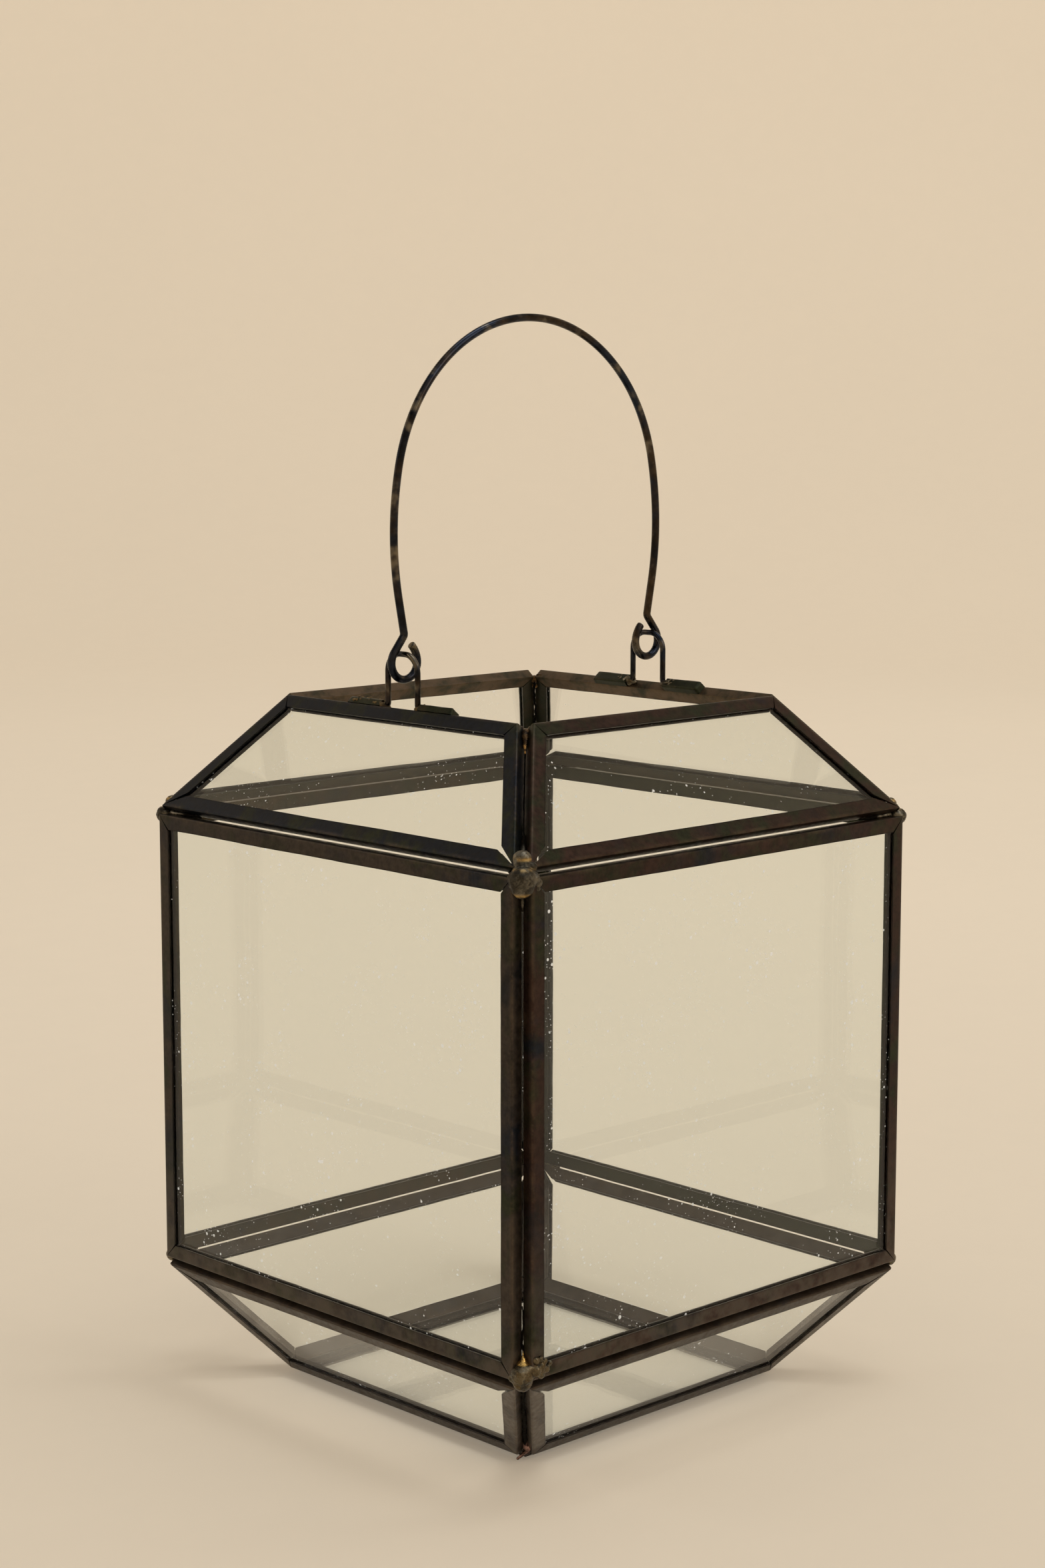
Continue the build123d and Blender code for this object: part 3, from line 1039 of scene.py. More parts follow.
@dataclass
class ChannelFrames:
    """The thirteen frames of folded channel."""

    shape: BodyShape
    finishes: dict[str, Material]
    width: float = 3.6 * MM
    depth: float = 4.3 * MM
    sheet: float = 0.5 * MM
    inner_fold: float = 0.16 * MM
    outer_fold: float = 0.5 * MM
    gap: float = 0.4 * MM
    mitre_gap: float = 0.5 * MM
    sharp_gap: float = 1.2 * MM
    sharp_below: float = math.radians(89.0)
    step: float = 3.5 * MM
    hand: float = 0.10 * MM
    near_fold: float = 1.2 * MM
    near_lip: float = 0.5 * MM
    fold_reach: float = 1.1 * MM
    # How far from its lip the flange is darkened, partly as painted shade.
    lip_grime_and_shade_reach: float = 0.25 * MM

    def rail(self, length: float, start_angle: float, end_angle: float, seed: float) -> BMesh:
        """One mitred rail along +x, with its web on y = 0 and its flanges reaching to +y.

        Args:
            length: Length of the wall's side.
            start_angle: The wall's inner angle at x = 0.
            end_angle: The wall's inner angle at x = length.
            seed: Sets this rail's unevenness.

        Returns:
            The rail.
        """
        bm = bmesh.new()
        inwards = (self.depth, self.depth - self.near_lip, self.near_fold, 0.0)
        section = [(inward, 0.0) for inward in inwards] + [(0.0, self.width / 2)]
        section += [(inward, self.width) for inward in reversed(inwards)]
        vert = bm.verts.new((0, *section[0]))
        for inward, up in section[1:]:
            vert = bmesh.ops.extrude_vert_indiv(bm, verts=[vert])["verts"][0]
            vert.co = (0, inward, up)
        grown = bmesh.ops.extrude_edge_only(bm, edges=bm.edges[:])["geom"]
        bmesh.ops.translate(bm, verts=only(bmesh.types.BMVert, grown), vec=(length, 0, 0))
        for height, radius in ((0.0, self.inner_fold), (self.width, self.outer_fold)):
            Sculpt.rounded(bm, [edge for edge in bm.edges if self.on_fold(edge, height)], radius, 4)
        runs = [edge for edge in bm.edges if abs(edge.verts[0].co.x - edge.verts[1].co.x) > length / 2]
        bmesh.ops.subdivide_edges(bm, edges=runs, cuts=int(length / self.step), use_grid_fill=True)
        self.mitre(bm, 0.0, start_angle, 1.0)
        self.mitre(bm, length, end_angle, -1.0)
        self.unevenness(bm, seed)
        bmesh.ops.solidify(bm, geom=bm.faces[:], thickness=self.sheet)
        self.label(bm)
        return bm

    def on_fold(self, edge: bmesh.types.BMEdge, height: float) -> bool:
        """Whether a lengthwise edge lies where the sheet is folded at this height."""
        first, second = (vert.co for vert in edge.verts)
        lengthwise = abs(first.x - second.x) > self.depth
        return lengthwise and abs(first.y) < TOUCH and abs(first.z - height) < TOUCH

    def mitre(self, bm: BMesh, end: float, angle: float, way: float) -> None:
        """Cuts one end of a rail, leaving a wedge that opens inwards from the corner.

        Args:
            bm: The rail.
            end: Where the wall's corner is along the rail.
            angle: The wall's inner angle at the corner.
            way: 1 at the start of the rail and -1 at its end.
        """
        half = angle / 2
        opening = self.sharp_gap if angle < self.sharp_below else self.mitre_gap
        reach = self.depth / math.sin(half)
        slope = half - math.atan2(opening / 2, reach)
        tip = Vector((end + way * (self.gap / 2) / math.tan(half), 0, 0))
        outwards = Vector((-math.sin(slope) * way, math.cos(slope), 0))
        bmesh.ops.bisect_plane(
            bm, geom=bm.verts[:] + bm.edges[:] + bm.faces[:], dist=TOUCH, plane_co=tip,
            plane_no=outwards, clear_outer=True)

    def unevenness(self, bm: BMesh, seed: float) -> None:
        """Gives the folded sheet the small waves of hand work.

        Args:
            bm: The rail before it gets its thickness.
            seed: Sets this rail's unevenness.
        """
        for vert in bm.verts:
            along = vert.co.x
            inward = min(vert.co.y / self.depth, 1.0)
            slow = noise.noise(Vector((along * 38.0, seed, vert.co.z * 120.0)))
            quick = noise.noise(Vector((along * 210.0, seed + 4.0, vert.co.z * 300.0)))
            outer = 1.0 if vert.co.z > self.width / 2 else -1.0
            flat = 1.0 if 10 * TOUCH < vert.co.y else 0.0
            vert.co.z += outer * flat * self.hand * (0.35 * slow + 0.15 * quick + 0.3) * inward
            vert.co.y += self.hand * (1.1 * slow + 0.6 * quick) * inward ** 2
            if vert.co.y < 10 * TOUCH:
                middle = 1.0 - abs(vert.co.z / self.width - 0.5) * 2
                vert.co.y += self.hand * 0.8 * (0.4 + slow) * middle

    def label(self, bm: BMesh) -> None:
        """Writes the fold and lip masks and the drawn-out coordinates of the sheet.

        Args:
            bm: The rail.
        """
        Sculpt.mask(bm, "fold", self.fold_share)
        Sculpt.mask(bm, "lip", lambda place: float(place.y > self.depth - self.lip_grime_and_shade_reach))
        uv = bm.loops.layers.uv.new("rail")
        for face in bm.faces:
            for loop in face.loops:
                place = loop.vert.co
                developed = place.z + math.copysign(place.y, place.z - self.width / 2)
                loop[uv].uv = (place.x, developed)

    def fold_share(self, place: Vector) -> float:
        """How near a place on the rail is to its folds, from 0 to 1."""
        near = math.hypot(max(place.y, 0.0), min(abs(place.z), abs(self.width - place.z)))
        return max(0.0, 1.0 - near / self.fold_reach)

    def frame_mesh(self, wall: Wall, seed: float) -> BMesh:
        """Four rails round one wall.

        Args:
            wall: The wall.
            seed: Sets the frame's unevenness.

        Returns:
            The frame.
        """
        whole = bmesh.new()
        for index, (start, end, start_angle, end_angle) in enumerate(wall.sides()):
            along = (end - start).normalized()
            inward = Vector((-along.y, along.x, 0))
            rail = self.rail((end - start).length, start_angle, end_angle, seed + index * 3.1)
            place = BodyShape.placed(start + inward * (self.gap / 2), along, inward, Vector((0, 0, 1)))
            matrix = wall.matrix @ place
            Sculpt.mask(rail, "pale", lambda place: self.paleness(wall, index, (matrix @ place).z))
            Sculpt.join(whole, rail, matrix)
        return whole

    def paleness(self, wall: Wall, side: int, height: float) -> float:
        """How far the patina has greyed or worn to bronze: most on the foot's hips and the far rims.

        Args:
            wall: The wall.
            side: Which of its four rails.
            height: Height above the ground.

        Returns:
            A share from 0 to 1.
        """
        if wall.name.startswith("bottom"):
            return 1.0 if side % 2 else 0.25
        if wall.name in ("top_right", "top_back"):
            return 1.0 if side == 2 else 0.2
        if wall.name.startswith("side"):
            return 0.5 * unit((85.0 * MM - height) / (45.0 * MM))
        return 0.0

    def build(self) -> None:
        """Makes and dresses every frame."""
        for index, wall in enumerate(self.shape.walls()):
            mesh = self.frame_mesh(wall, index * 17.3)
            made = Sculpt.piece(mesh, "channel_" + wall.name, self.finishes[wall.name])
            fit(made, "body", wall.name + "_frame")


@dataclass
class GlassPanes:
    """The thirteen panes."""

    shape: BodyShape
    materials: list[Material]
    thick: float = 2.4 * MM
    lift: float = 0.6 * MM
    edge: float = 1.3 * MM
    chamfer: float = 0.25 * MM

    def pane(self, wall: Wall) -> BMesh:
        """A cut pane with ground edges.

        Args:
            wall: The wall that it fills.

        Returns:
            The pane.
        """
        bm = bmesh.new()
        verts = []
        for index, (start, end, angle, _) in enumerate(wall.sides()):
            before, after = wall.outline[index - 1] - start, end - start
            inwards = (before.normalized() + after.normalized()).normalized()
            corner = start + inwards * (self.edge / math.sin(angle / 2))
            verts.append(bm.verts.new(corner + Vector((0, 0, self.lift))))
        face = bmesh.ops.contextual_create(bm, geom=verts)["faces"]
        grown = bmesh.ops.extrude_face_region(bm, geom=face)["geom"]
        bmesh.ops.translate(bm, verts=only(bmesh.types.BMVert, grown), vec=(0, 0, self.thick))
        bmesh.ops.recalc_face_normals(bm, faces=bm.faces[:])
        Sculpt.rounded(bm, bm.edges[:], self.chamfer, 2)
        bm.transform(wall.matrix)
        return bm

    def build(self) -> None:
        """Makes and dresses every pane."""
        for index, wall in enumerate(self.shape.walls()):
            material = self.materials[index % len(self.materials)]
            made = Sculpt.piece(self.pane(wall), "pane_" + wall.name, material, sharp=20.0)
            fit(made, "body", wall.name + "_glass")


# ---------------------------------------------------------------- solder


@dataclass
class CornerSolder:
    """Solder at the corners: round drops that ran a little way into the grooves."""

    shape: BodyShape
    finishes: dict[SolderRun, Material]
    voxel: float = 0.24 * MM
    smoothing: int = 3
    ripple: float = 0.16 * MM

    def corner(self, half: float, z: float) -> Vector:
        """A point over the front-left corner."""
        return Vector((-half, -half, z))

    def trail(self, start: Vector, end: Vector, first: float, last: float, count: int,
              seed: float) -> Drops:
        """A run of drops that thins out.

        Args:
            start: Where it starts.
            end: Where it ends.
            first: Radius at the start.
            last: Radius at the end.
            count: How many drops.
            seed: Sets its unevenness.

        Returns:
            The drops.
        """
        drops = []
        for step in range(count):
            share = step / (count - 1)
            uneven = 1.0 + 0.22 * noise.noise(Vector((seed, step * 0.83, 0.0)))
            drops.append((start.lerp(end, share), (first + (last - first) * share) * uneven))
        return drops

    def seam(self, half: float, z: float, length: float, first: float, seed: float) -> Drops:
        """Thin runs in the two level grooves that meet at a corner.

        Args:
            half: Half width of the body at the groove.
            z: Height of the groove.
            length: How far each run goes.
            first: Radius by the corner.
            seed: Sets the unevenness.

        Returns:
            The drops.
        """
        drops = []
        for along in (Vector((1, 0, 0)), Vector((0, 1, 0))):
            away = Vector((along.y, along.x, 0)) * -0.55 * MM
            start = Vector((-half, -half, z)) + away + along * 3.0 * MM
            count = int(length / (0.42 * MM))
            drops += self.trail(
                start, start + along * length, first, 0.38 * MM, count, seed + along.x * 9)
        return drops

    @staticmethod
    def beads(half: float, z: float, rows: tuple[Bead, ...]) -> Drops:
        """Single drops near the front-left corner.

        Args:
            half: Half width of the body at the corner.
            z: Height of the corner.
            rows: Steps out along x and along y, step up, and radius, in millimetres.

        Returns:
            The drops.
        """
        return [
            (Vector((-half - x * MM, -half - y * MM, z + up * MM)), radius * MM)
            for x, y, up, radius in rows]

    def upper(self, seed: float, big: bool) -> Drops:
        """An upper shoulder corner, with a thin run up the hip.

        Args:
            seed: Sets the unevenness.
            big: Whether this is the corner with the large drops.

        Returns:
            The drops.
        """
        half, z = self.shape.body_half, self.shape.upper_z
        drops = self.seam(half, z + 0.25 * MM, (1.5 if big else 14.0) * MM, 0.85 * MM, seed)
        drops += self.trail(
            self.corner(half - 3.6 * MM, z + 5.4 * MM), self.corner(half - 5.8 * MM, z + 9.0 * MM),
            0.9 * MM, 0.45 * MM, 16, seed + 5)
        groove = 0.05 * MM
        head = self.corner(self.shape.rim_half + groove, self.shape.rim_z - 2 * MM)
        drops += self.trail(
            self.corner(half + groove, z + groove), head, 0.42 * MM, 0.42 * MM, 150, seed + 6)
        if not big:
            return drops + self.beads(half, z, ((0.7, 0.7, -0.6, 2.7), (-0.9, -0.9, 3.0, 2.1)))
        out = half + 0.4 * MM
        drops += self.trail(
            self.corner(out, z - 6.0 * MM), self.corner(out, z - 9.5 * MM),
            0.75 * MM, 0.3 * MM, 12, seed)
        return drops + self.beads(half, z, (
            (1.1, 1.1, -0.9, 3.9), (1.3, 1.3, -2.9, 3.05), (-1.0, -1.0, 4.0, 2.65),
            (-0.4, -0.4, 2.0, 2.9), (-1.3, 2.9, -0.4, 1.75), (-2.5, 3.0, -1.5, 1.35),
            (-2.3, 3.1, -3.2, 0.95), (-1.9, 1.6, 2.2, 1.5), (2.9, -1.0, -0.6, 1.5)))

    def lower(self, seed: float, big: bool) -> Drops:
        """A lower shoulder corner, with a seam down the foot's hip.

        Args:
            seed: Sets the unevenness.
            big: Whether this is the corner with the large drops.

        Returns:
            The drops.
        """
        half, z = self.shape.body_half, self.shape.lower_z
        foot = self.corner(self.shape.base_half + 0.3 * MM, self.shape.base_z - 0.6 * MM)
        drops = self.seam(half, z - 0.2 * MM, 7.0 * MM, 0.8 * MM, seed)
        drops += self.trail(
            self.corner(half - 0.2 * MM, z - 1.4 * MM), foot, 0.62 * MM, 0.58 * MM, 120, seed + 2.0)
        if not big:
            return drops + self.beads(half, z, ((0.6, 0.6, 0.2, 2.2), (0.6, 0.6, 2.6, 1.5)))
        drops += self.trail(
            self.corner(half + 0.9 * MM, z + 3.2 * MM), self.corner(half + 0.5 * MM, z + 6.6 * MM),
            2.0 * MM, 0.4 * MM, 14, seed)
        drops += self.trail(
            self.corner(half + 0.1 * MM, z + 6.6 * MM), self.corner(half + 0.1 * MM, z + 20 * MM),
            0.36 * MM, 0.34 * MM, 44, seed)
        return drops + self.beads(half, z, (
            (-1.8, 3.3, 2.8, 1.75), (-3.7, 3.5, 3.7, 1.45), (-3.4, 3.4, 1.6, 1.5),
            (-5.4, 3.6, 2.5, 1.1), (-1.5, 3.6, 5.6, 1.15), (-3.2, 3.7, 5.7, 0.95),
            (-6.6, 3.7, 3.9, 0.75), (-5.0, 3.7, 4.8, 0.8), (1.2, 1.2, 1.7, 3.3),
            (0.9, 0.9, -0.3, 2.8), (-0.6, 2.2, 3.0, 1.9), (0.8, 2.9, 1.5, 1.6),
            (2.9, -0.6, 0.8, 1.2)))

    def rim(self, seed: float, big: bool) -> Drops:
        """A rim corner, with a drip down the hip groove.

        Args:
            seed: Sets the unevenness.
            big: Whether this is the corner with the long drip.

        Returns:
            The drops.
        """
        half, z = self.shape.rim_half, self.shape.rim_z
        reach = 1.0 if big else 0.4
        drops = self.beads(half, z, ((1.2, 1.2, -1.1, 1.5), (2.5, 2.5, -2.9, 1.4)))
        drops += self.trail(
            self.corner(half + 2.3 * MM, z - 1.8 * MM),
            self.corner(half + (2.3 + 2.9 * reach) * MM, z - (1.8 + 3.9 * reach) * MM),
            1.2 * MM, 0.28 * MM, 22, seed)
        for along in (Vector((1, 0, 0)), Vector((0, 1, 0))):
            away = Vector((along.y, along.x, 0)) * -1.3 * MM
            start = Vector((-half, -half, z + 0.1 * MM)) + away + along * 0.6 * MM
            drops += self.trail(
                start, start + along * 2.4 * MM, 0.85 * MM, 0.3 * MM, 12, seed + along.x * 3)
        return drops

    def base(self, seed: float, big: bool) -> Drops:
        """A base corner, with a run round the big one.

        Args:
            seed: Sets the unevenness.
            big: Whether this is the corner with the run.

        Returns:
            The drops.
        """
        half, z = self.shape.base_half, self.shape.base_z
        top = 3.6 if big else 2.4
        drops = self.beads(half, z, ((-0.2, -0.2, -1.3, 1.6),))
        drops += self.trail(
            self.corner(half + 0.7 * MM, z + 0.2 * MM),
            self.corner(half + top * MM, z + (top + 0.4) * MM), 1.25 * MM, 0.5 * MM, 16, seed)
        if not big:
            return drops
        low = Vector((-half - 3.3 * MM, -half - 0.4 * MM, 0.9 * MM))
        high = Vector((-half + 0.2 * MM, -half - 3.2 * MM, 4.8 * MM))
        return drops + self.trail(low, high, 0.55 * MM, 0.7 * MM, 14, seed)

    def fresh(self, kind: SolderRun, place: Vector) -> float:
        """How far the lighter metal colour shows at a place on the front-left corner; on the upper
        shoulder it is painted highlight.

        Args:
            kind: The kind of solder.
            place: The place.

        Returns:
            A share from 0 to 1.
        """
        aside = abs(place.x - place.y) / MM
        # Upper shoulder: gold bands at the top of the upper drop, between the drops and at the foot of
        # the main drop, near the corner's middle plane: painted highlights.
        if kind is SolderRun.UPPER:
            above = (place.z - self.shape.upper_z) / MM
            rings = ((4.3, 0.4, 0.6), (1.9, 0.35, 0.4), (-4.9, 0.45, 0.75))
            bands = sum(tall * bell(above, middle, wide) for middle, wide, tall in rings)
            return min(bands, 1.0) * (1.0 if aside < 3.6 else 0.25)
        if kind is SolderRun.LOWER:
            above = (place.z - self.shape.lower_z) / MM
            return 1.0 if aside < 3.4 and 4.6 < above < 7.4 else 0.08
        if kind is SolderRun.RIM:
            return 0.95 if place.z < self.shape.rim_z - 3.6 * MM else 0.1
        outwards = -(place.x + place.y + 2 * self.shape.base_half) / MM
        return 0.95 if outwards > 3.3 else 0.1

    def label(self, bm: BMesh, kind: SolderRun) -> None:
        """Writes the masks of lighter metal, with painted highlight on the upper shoulders, and of dark
        seam.

        Args:
            bm: One corner's solder, still over the front-left corner.
            kind: The kind of solder.
        """
        half, z, reach = {
            SolderRun.UPPER: (self.shape.body_half, self.shape.upper_z, 8.0 * MM),
            SolderRun.LOWER: (self.shape.body_half, self.shape.lower_z, 9.5 * MM),
            SolderRun.RIM: (self.shape.rim_half, self.shape.rim_z, 12.0 * MM),
            SolderRun.BASE: (self.shape.base_half, self.shape.base_z, 8.0 * MM),
        }[kind]
        lowest, highest = -math.inf, math.inf
        if kind is SolderRun.LOWER:
            lowest, highest = z - 4.2 * MM, z + 8.0 * MM
        centre = self.corner(half, z)

        def seam(place: Vector) -> float:
            """How far a place belongs to the dark seams."""
            away = unit(((place - centre).length - reach) / (1.5 * MM))
            return away if lowest <= place.z <= highest else 1.0

        Sculpt.mask(bm, "fresh", lambda place: self.fresh(kind, place))
        Sculpt.mask(bm, "seam", seam)

    def build(self) -> None:
        """Makes and dresses the four kinds of corner solder."""
        makers = (self.upper, self.lower, self.rim, self.base)
        for kind_index, (kind, drops) in enumerate(zip(SolderRun, makers)):
            whole = bmesh.new()
            for index, facing in enumerate(Facing):
                seed = kind_index * 31.0 + index * 7.7
                big = facing is Facing.FRONT
                blob = Sculpt.melted(drops(seed, big), self.voxel, self.smoothing)
                Sculpt.wobble(blob, self.ripple, 520.0, seed)
                Sculpt.wobble(blob, self.ripple * 1.6, 190.0, seed + 3.0)
                self.label(blob, kind)
                below = -min(vert.co.z for vert in blob.verts)
                lift = Matrix.Translation((0, 0, max(0.0, below)))
                turn = Matrix.Rotation(math.radians(facing.value), 4, "Z")
                Sculpt.join(whole, blob, turn @ lift)
            made = Sculpt.piece(whole, "run_" + kind.value, self.finishes[kind], sharp=80.0)
            fit(made, "body", kind.value)


# ---------------------------------------------------------------- wires


@dataclass
class BailHandle:
    """The wire bail: a round crown, drawn-in sides and an open eye at each end."""

    material: Material
    wire: float = 2.3 * MM
    crown_z: float = 318.3 * MM
    crown_radius: float = 52.3 * MM
    crown_turn: float = 78.0
    side_radius: float = 95.0 * MM
    side_turn: float = 23.0
    side_straight: float = 9.5 * MM
    kink_radius: float = 1.6 * MM
    eye_radius: float = 4.85 * MM
    eye_drop: float = 7.75 * MM
    eye_end_turn: float = 282.0
    tip_radius: float = 7.5 * MM
    tip_turn: float = 35.0
    end_rounding: float = 0.3 * MM
    hand: float = 0.22 * MM
    steady_below: float = 232.0 * MM
    steady_band: float = 30.0 * MM

    def skin(self) -> BMesh:
        """Bends the wire.

        Returns:
            The whole bail.
        """
        neck_angle = math.asin(self.eye_radius / self.eye_drop)
        neck_heading = 90 - math.degrees(neck_angle)
        kink_turn = self.crown_turn + self.side_turn - neck_heading
        kink_run = self.kink_radius * math.tan(math.radians(kink_turn / 2))
        neck = self.eye_drop * math.cos(neck_angle) - kink_run
        path = WirePath(Vector((0, 0, self.crown_z)), 0.0, self.wire, 24)
        path.arc(self.crown_radius, -self.crown_turn, 44)
        path.arc(self.side_radius, -self.side_turn, 24)
        path.straight(self.side_straight, 6)
        path.arc(self.kink_radius, kink_turn, 8)
        path.straight(neck, 4)
        path.arc(self.eye_radius, neck_heading - self.eye_end_turn, 56)
        path.arc(self.tip_radius, -self.tip_turn, 8)
        path.close(self.end_rounding)
        return path.mirrored()

    def loose(self, place: Vector) -> float:
        """How far the wire may stray: freely at the crown and not at all by the eyes."""
        return unit((place.z - self.steady_below) / self.steady_band)

    @staticmethod
    def heat(place: Vector) -> float:
        """Where the torch left its colours: more on the left side, and low on the right one.

        Args:
            place: A place on the wire.

        Returns:
            A share from 0 to 1.
        """
        bands = ((0.85, 262.0, 11.0), (0.5, 222.0, 4.0)) if place.x < 0 else ((0.45, 236.0, 6.0),)
        warm = sum(peak * bell(place.z / MM, middle, width) for peak, middle, width in bands)
        if place.x < 0 or place.z >= 227.8 * MM:
            return warm
        return warm + 0.95 * bell(place.x / MM, 46.8, 1.6)

    def build(self) -> None:
        """Makes and dresses the bail."""
        bm = self.skin()
        Sculpt.mask(bm, "heat", self.heat)
        Sculpt.wobble(bm, self.hand, 21.0, 5.2, self.loose)
        made = Sculpt.piece(bm, "bail_wire", self.material, sharp=60.0)
        fit(made, "bail", "handle")


@dataclass
class StapleSet:
    """The wire staples on the left and right rims, with their folded clips and solder."""

    shape: BodyShape
    wire_finish: Material
    clip_finish: Material
    solder_finishes: dict[Facing, Material]
    wire: float = 1.7 * MM
    spread: float = 12.6 * MM
    top_z: float = 223.6 * MM
    arch_radius: float = 5.2 * MM
    foot_radius: float = 1.6 * MM
    foot_end: float = 19.5 * MM
    rail_width: float = 3.6 * MM
    gap: float = 0.4 * MM
    clip_start: float = 8.0 * MM
    clip_end: float = 22.3 * MM
    clip_sheet: float = 0.4 * MM
    clip_height: float = 2.2 * MM
    clip_slope: float = 0.7 * MM
    clip_crease: float = 0.55 * MM
    dab_place: float = 7.4 * MM

    def rail(self) -> tuple[Vector, Vector, Vector]:
        """The right rim's rail: the middle of its web, the web's normal and the pane's normal."""
        inwards = self.shape.rim_half - self.shape.body_half
        up_slope = Vector((inwards, 0, self.shape.rim_z - self.shape.upper_z)).normalized()
        outwards = Vector((up_slope.z, 0, -up_slope.x))
        inner = Vector((self.shape.rim_half, 0, self.shape.rim_z)) - up_slope * (self.gap / 2)
        return inner + outwards * (self.rail_width / 2), up_slope, outwards

    def foot(self) -> Vector:
        """Where the middle of the staple's foot wire lies."""
        middle, web, _ = self.rail()
        return middle + web * (self.wire / 2 + 0.02 * MM)

    def staple(self) -> BMesh:
        """Bends the right staple.

        Returns:
            The staple in place.
        """
        foot = self.foot()
        half = self.spread / 2
        leg = self.top_z - self.arch_radius - foot.z - self.foot_radius
        path = WirePath(Vector((0, 0, self.top_z)), 0.0, self.wire, 20)
        path.straight(half - self.arch_radius, 2)
        path.arc(self.arch_radius, -90, 18)
        path.straight(leg, 4)
        path.arc(self.foot_radius, 90, 10)
        path.straight(self.foot_end - half - self.foot_radius, 6)
        path.close(0.25 * MM)
        bm = path.mirrored()
        bm.transform(Matrix.Translation((foot.x, 0, 0)) @ Matrix.Rotation(math.radians(90), 4, "Z"))
        bm.verts.layers.float.new("heat")
        return bm

    def clip(self, seed: float) -> BMesh:
        """Folds the clip over one foot of the right staple.

        Args:
            seed: Sets its dents.

        Returns:
            The clip in place.
        """
        middle, web, outwards = self.rail()
        bm = bmesh.new()
        length = self.clip_end - self.clip_start
        bmesh.ops.create_cube(bm, size=1.0, matrix=Matrix.Translation((0.5, 0, 0.5)))
        bmesh.ops.scale(bm, verts=bm.verts[:], vec=(length, self.rail_width, self.clip_height))
        top_end = [v for v in bm.verts if v.co.x > length / 2 and v.co.z > self.clip_height / 2]
        bmesh.ops.translate(bm, verts=top_end, vec=(-self.clip_slope, 0, 0))
        gone = [f for f in bm.faces if f.normal.z < -0.9 or f.normal.x < -0.9]
        bmesh.ops.delete(bm, geom=gone, context="FACES")
        crease = [e for e in bm.edges if not e.is_boundary]
        Sculpt.rounded(bm, crease, self.clip_crease, 3)
        wide = [e for e in bm.edges if e.calc_length() > 1.3 * MM]
        bmesh.ops.subdivide_edges(bm, edges=wide, cuts=5, use_grid_fill=True)
        Sculpt.wobble(bm, 0.14 * MM, 260.0, seed)
        bmesh.ops.solidify(bm, geom=bm.faces[:], thickness=self.clip_sheet)
        Sculpt.mask(bm, "fold", self.fold_share)
        Sculpt.mask(bm, "lip", lambda place: 0.0)
        bm.loops.layers.uv.new("rail")
        start = middle + Vector((0, self.clip_start, 0))
        bm.transform(BodyShape.placed(start, Vector((0, 1, 0)), -outwards, web))
        return bm

    def fold_share(self, place: Vector) -> float:
        """How near a place on a clip is to its folds, from 0 to 1."""
        side = self.rail_width / 2 - abs(place.y)
        return max(0.0, 1.0 - math.hypot(side, self.clip_height - place.z) / MM)

    def dabs(self, facing: Facing) -> BMesh:
        """Solder at the staple's legs, with crumbs on the left clips.

        Args:
            facing: Which rim it is for.

        Returns:
            The solder on the right rim.
        """
        middle, web, outwards = self.rail()
        left = facing is Facing.LEFT
        draw = random.Random(11 if left else 29)
        drops: Drops = []
        for way in (-1, 1):
            along_rim = Vector((0, way, 0))
            root = middle + along_rim * self.dab_place + web * 0.7 * MM
            drops += [
                (root, 1.55 * MM), (root + along_rim * 1.0 * MM + web * 0.5 * MM, 1.25 * MM),
                (root + outwards * 1.1 * MM - web * 0.3 * MM, 1.0 * MM),
                (root - along_rim * 1.6 * MM - web * 0.2 * MM, 0.75 * MM)]
            crusty = left and way == -1
            furthest = self.clip_end - 2.5 * MM if crusty else self.clip_start + 4 * MM
            for _ in range(70 if crusty else 12):
                along = draw.uniform(self.clip_start, furthest)
                across = draw.uniform(-1.7, 1.7) * MM
                fallen = 0.0 if abs(across) < 1.3 * MM else draw.uniform(0.3, 1.6) * MM
                height = self.clip_height - fallen
                place = middle + along_rim * along + web * height + outwards * across
                drops.append((place, draw.uniform(0.28, 0.62 if crusty else 0.4) * MM))
        bm = Sculpt.melted(drops, 0.17 * MM, 2)
        Sculpt.wobble(bm, 0.12 * MM, 800.0, 4.0)
        Sculpt.mask(bm, "fresh", lambda place: 0.08)
        Sculpt.mask(bm, "seam", lambda place: 0.0)
        return bm

    def clip_pair(self, seed: float) -> BMesh:
        """Both clips of the right staple.

        Args:
            seed: Sets their dents.

        Returns:
            The clips in place.
        """
        pair, other = self.clip(1.0 + seed), self.clip(7.0 + seed)
        bmesh.ops.scale(other, verts=other.verts[:], vec=(1, -1, 1))
        bmesh.ops.reverse_faces(other, faces=other.faces[:])
        Sculpt.join(pair, other, Matrix.Identity(4))
        return pair

    def build(self) -> None:
        """Makes and dresses both sets."""
        for facing in (Facing.RIGHT, Facing.LEFT):
            side = facing.name.lower()
            turn = float(facing.value - Facing.RIGHT.value)
            about = Matrix.Rotation(math.radians(turn), 4, "Z")
            rows = (
                (self.staple(), "_staple_wire", self.wire_finish, 60.0, "_staple", Slot.WIRE),
                (self.clip_pair(turn), "_rim_clips", self.clip_finish, 38.0, "_staple_clips",
                 Slot.CHANNEL),
                (self.dabs(facing), "_staple_dabs", self.solder_finishes[facing], 80.0,
                 "_staple_solder", Slot.SOLDER))
            for bm, name, finish, sharp, node, slot in rows:
                bm.transform(about)
                fit(Sculpt.piece(bm, side + name, finish, sharp), "body", side + node)


# ---------------------------------------------------------------- studio


WARM: Colour = (1.0, 0.985, 0.96)
COOL: Colour = (0.92, 0.96, 1.0)


@dataclass(frozen=True)
class Lamp:
    """One soft area lamp and the place that it is aimed at."""

    name: str
    place: Vector
    aim: Vector
    size: float
    power: float
    colour: Colour = WARM


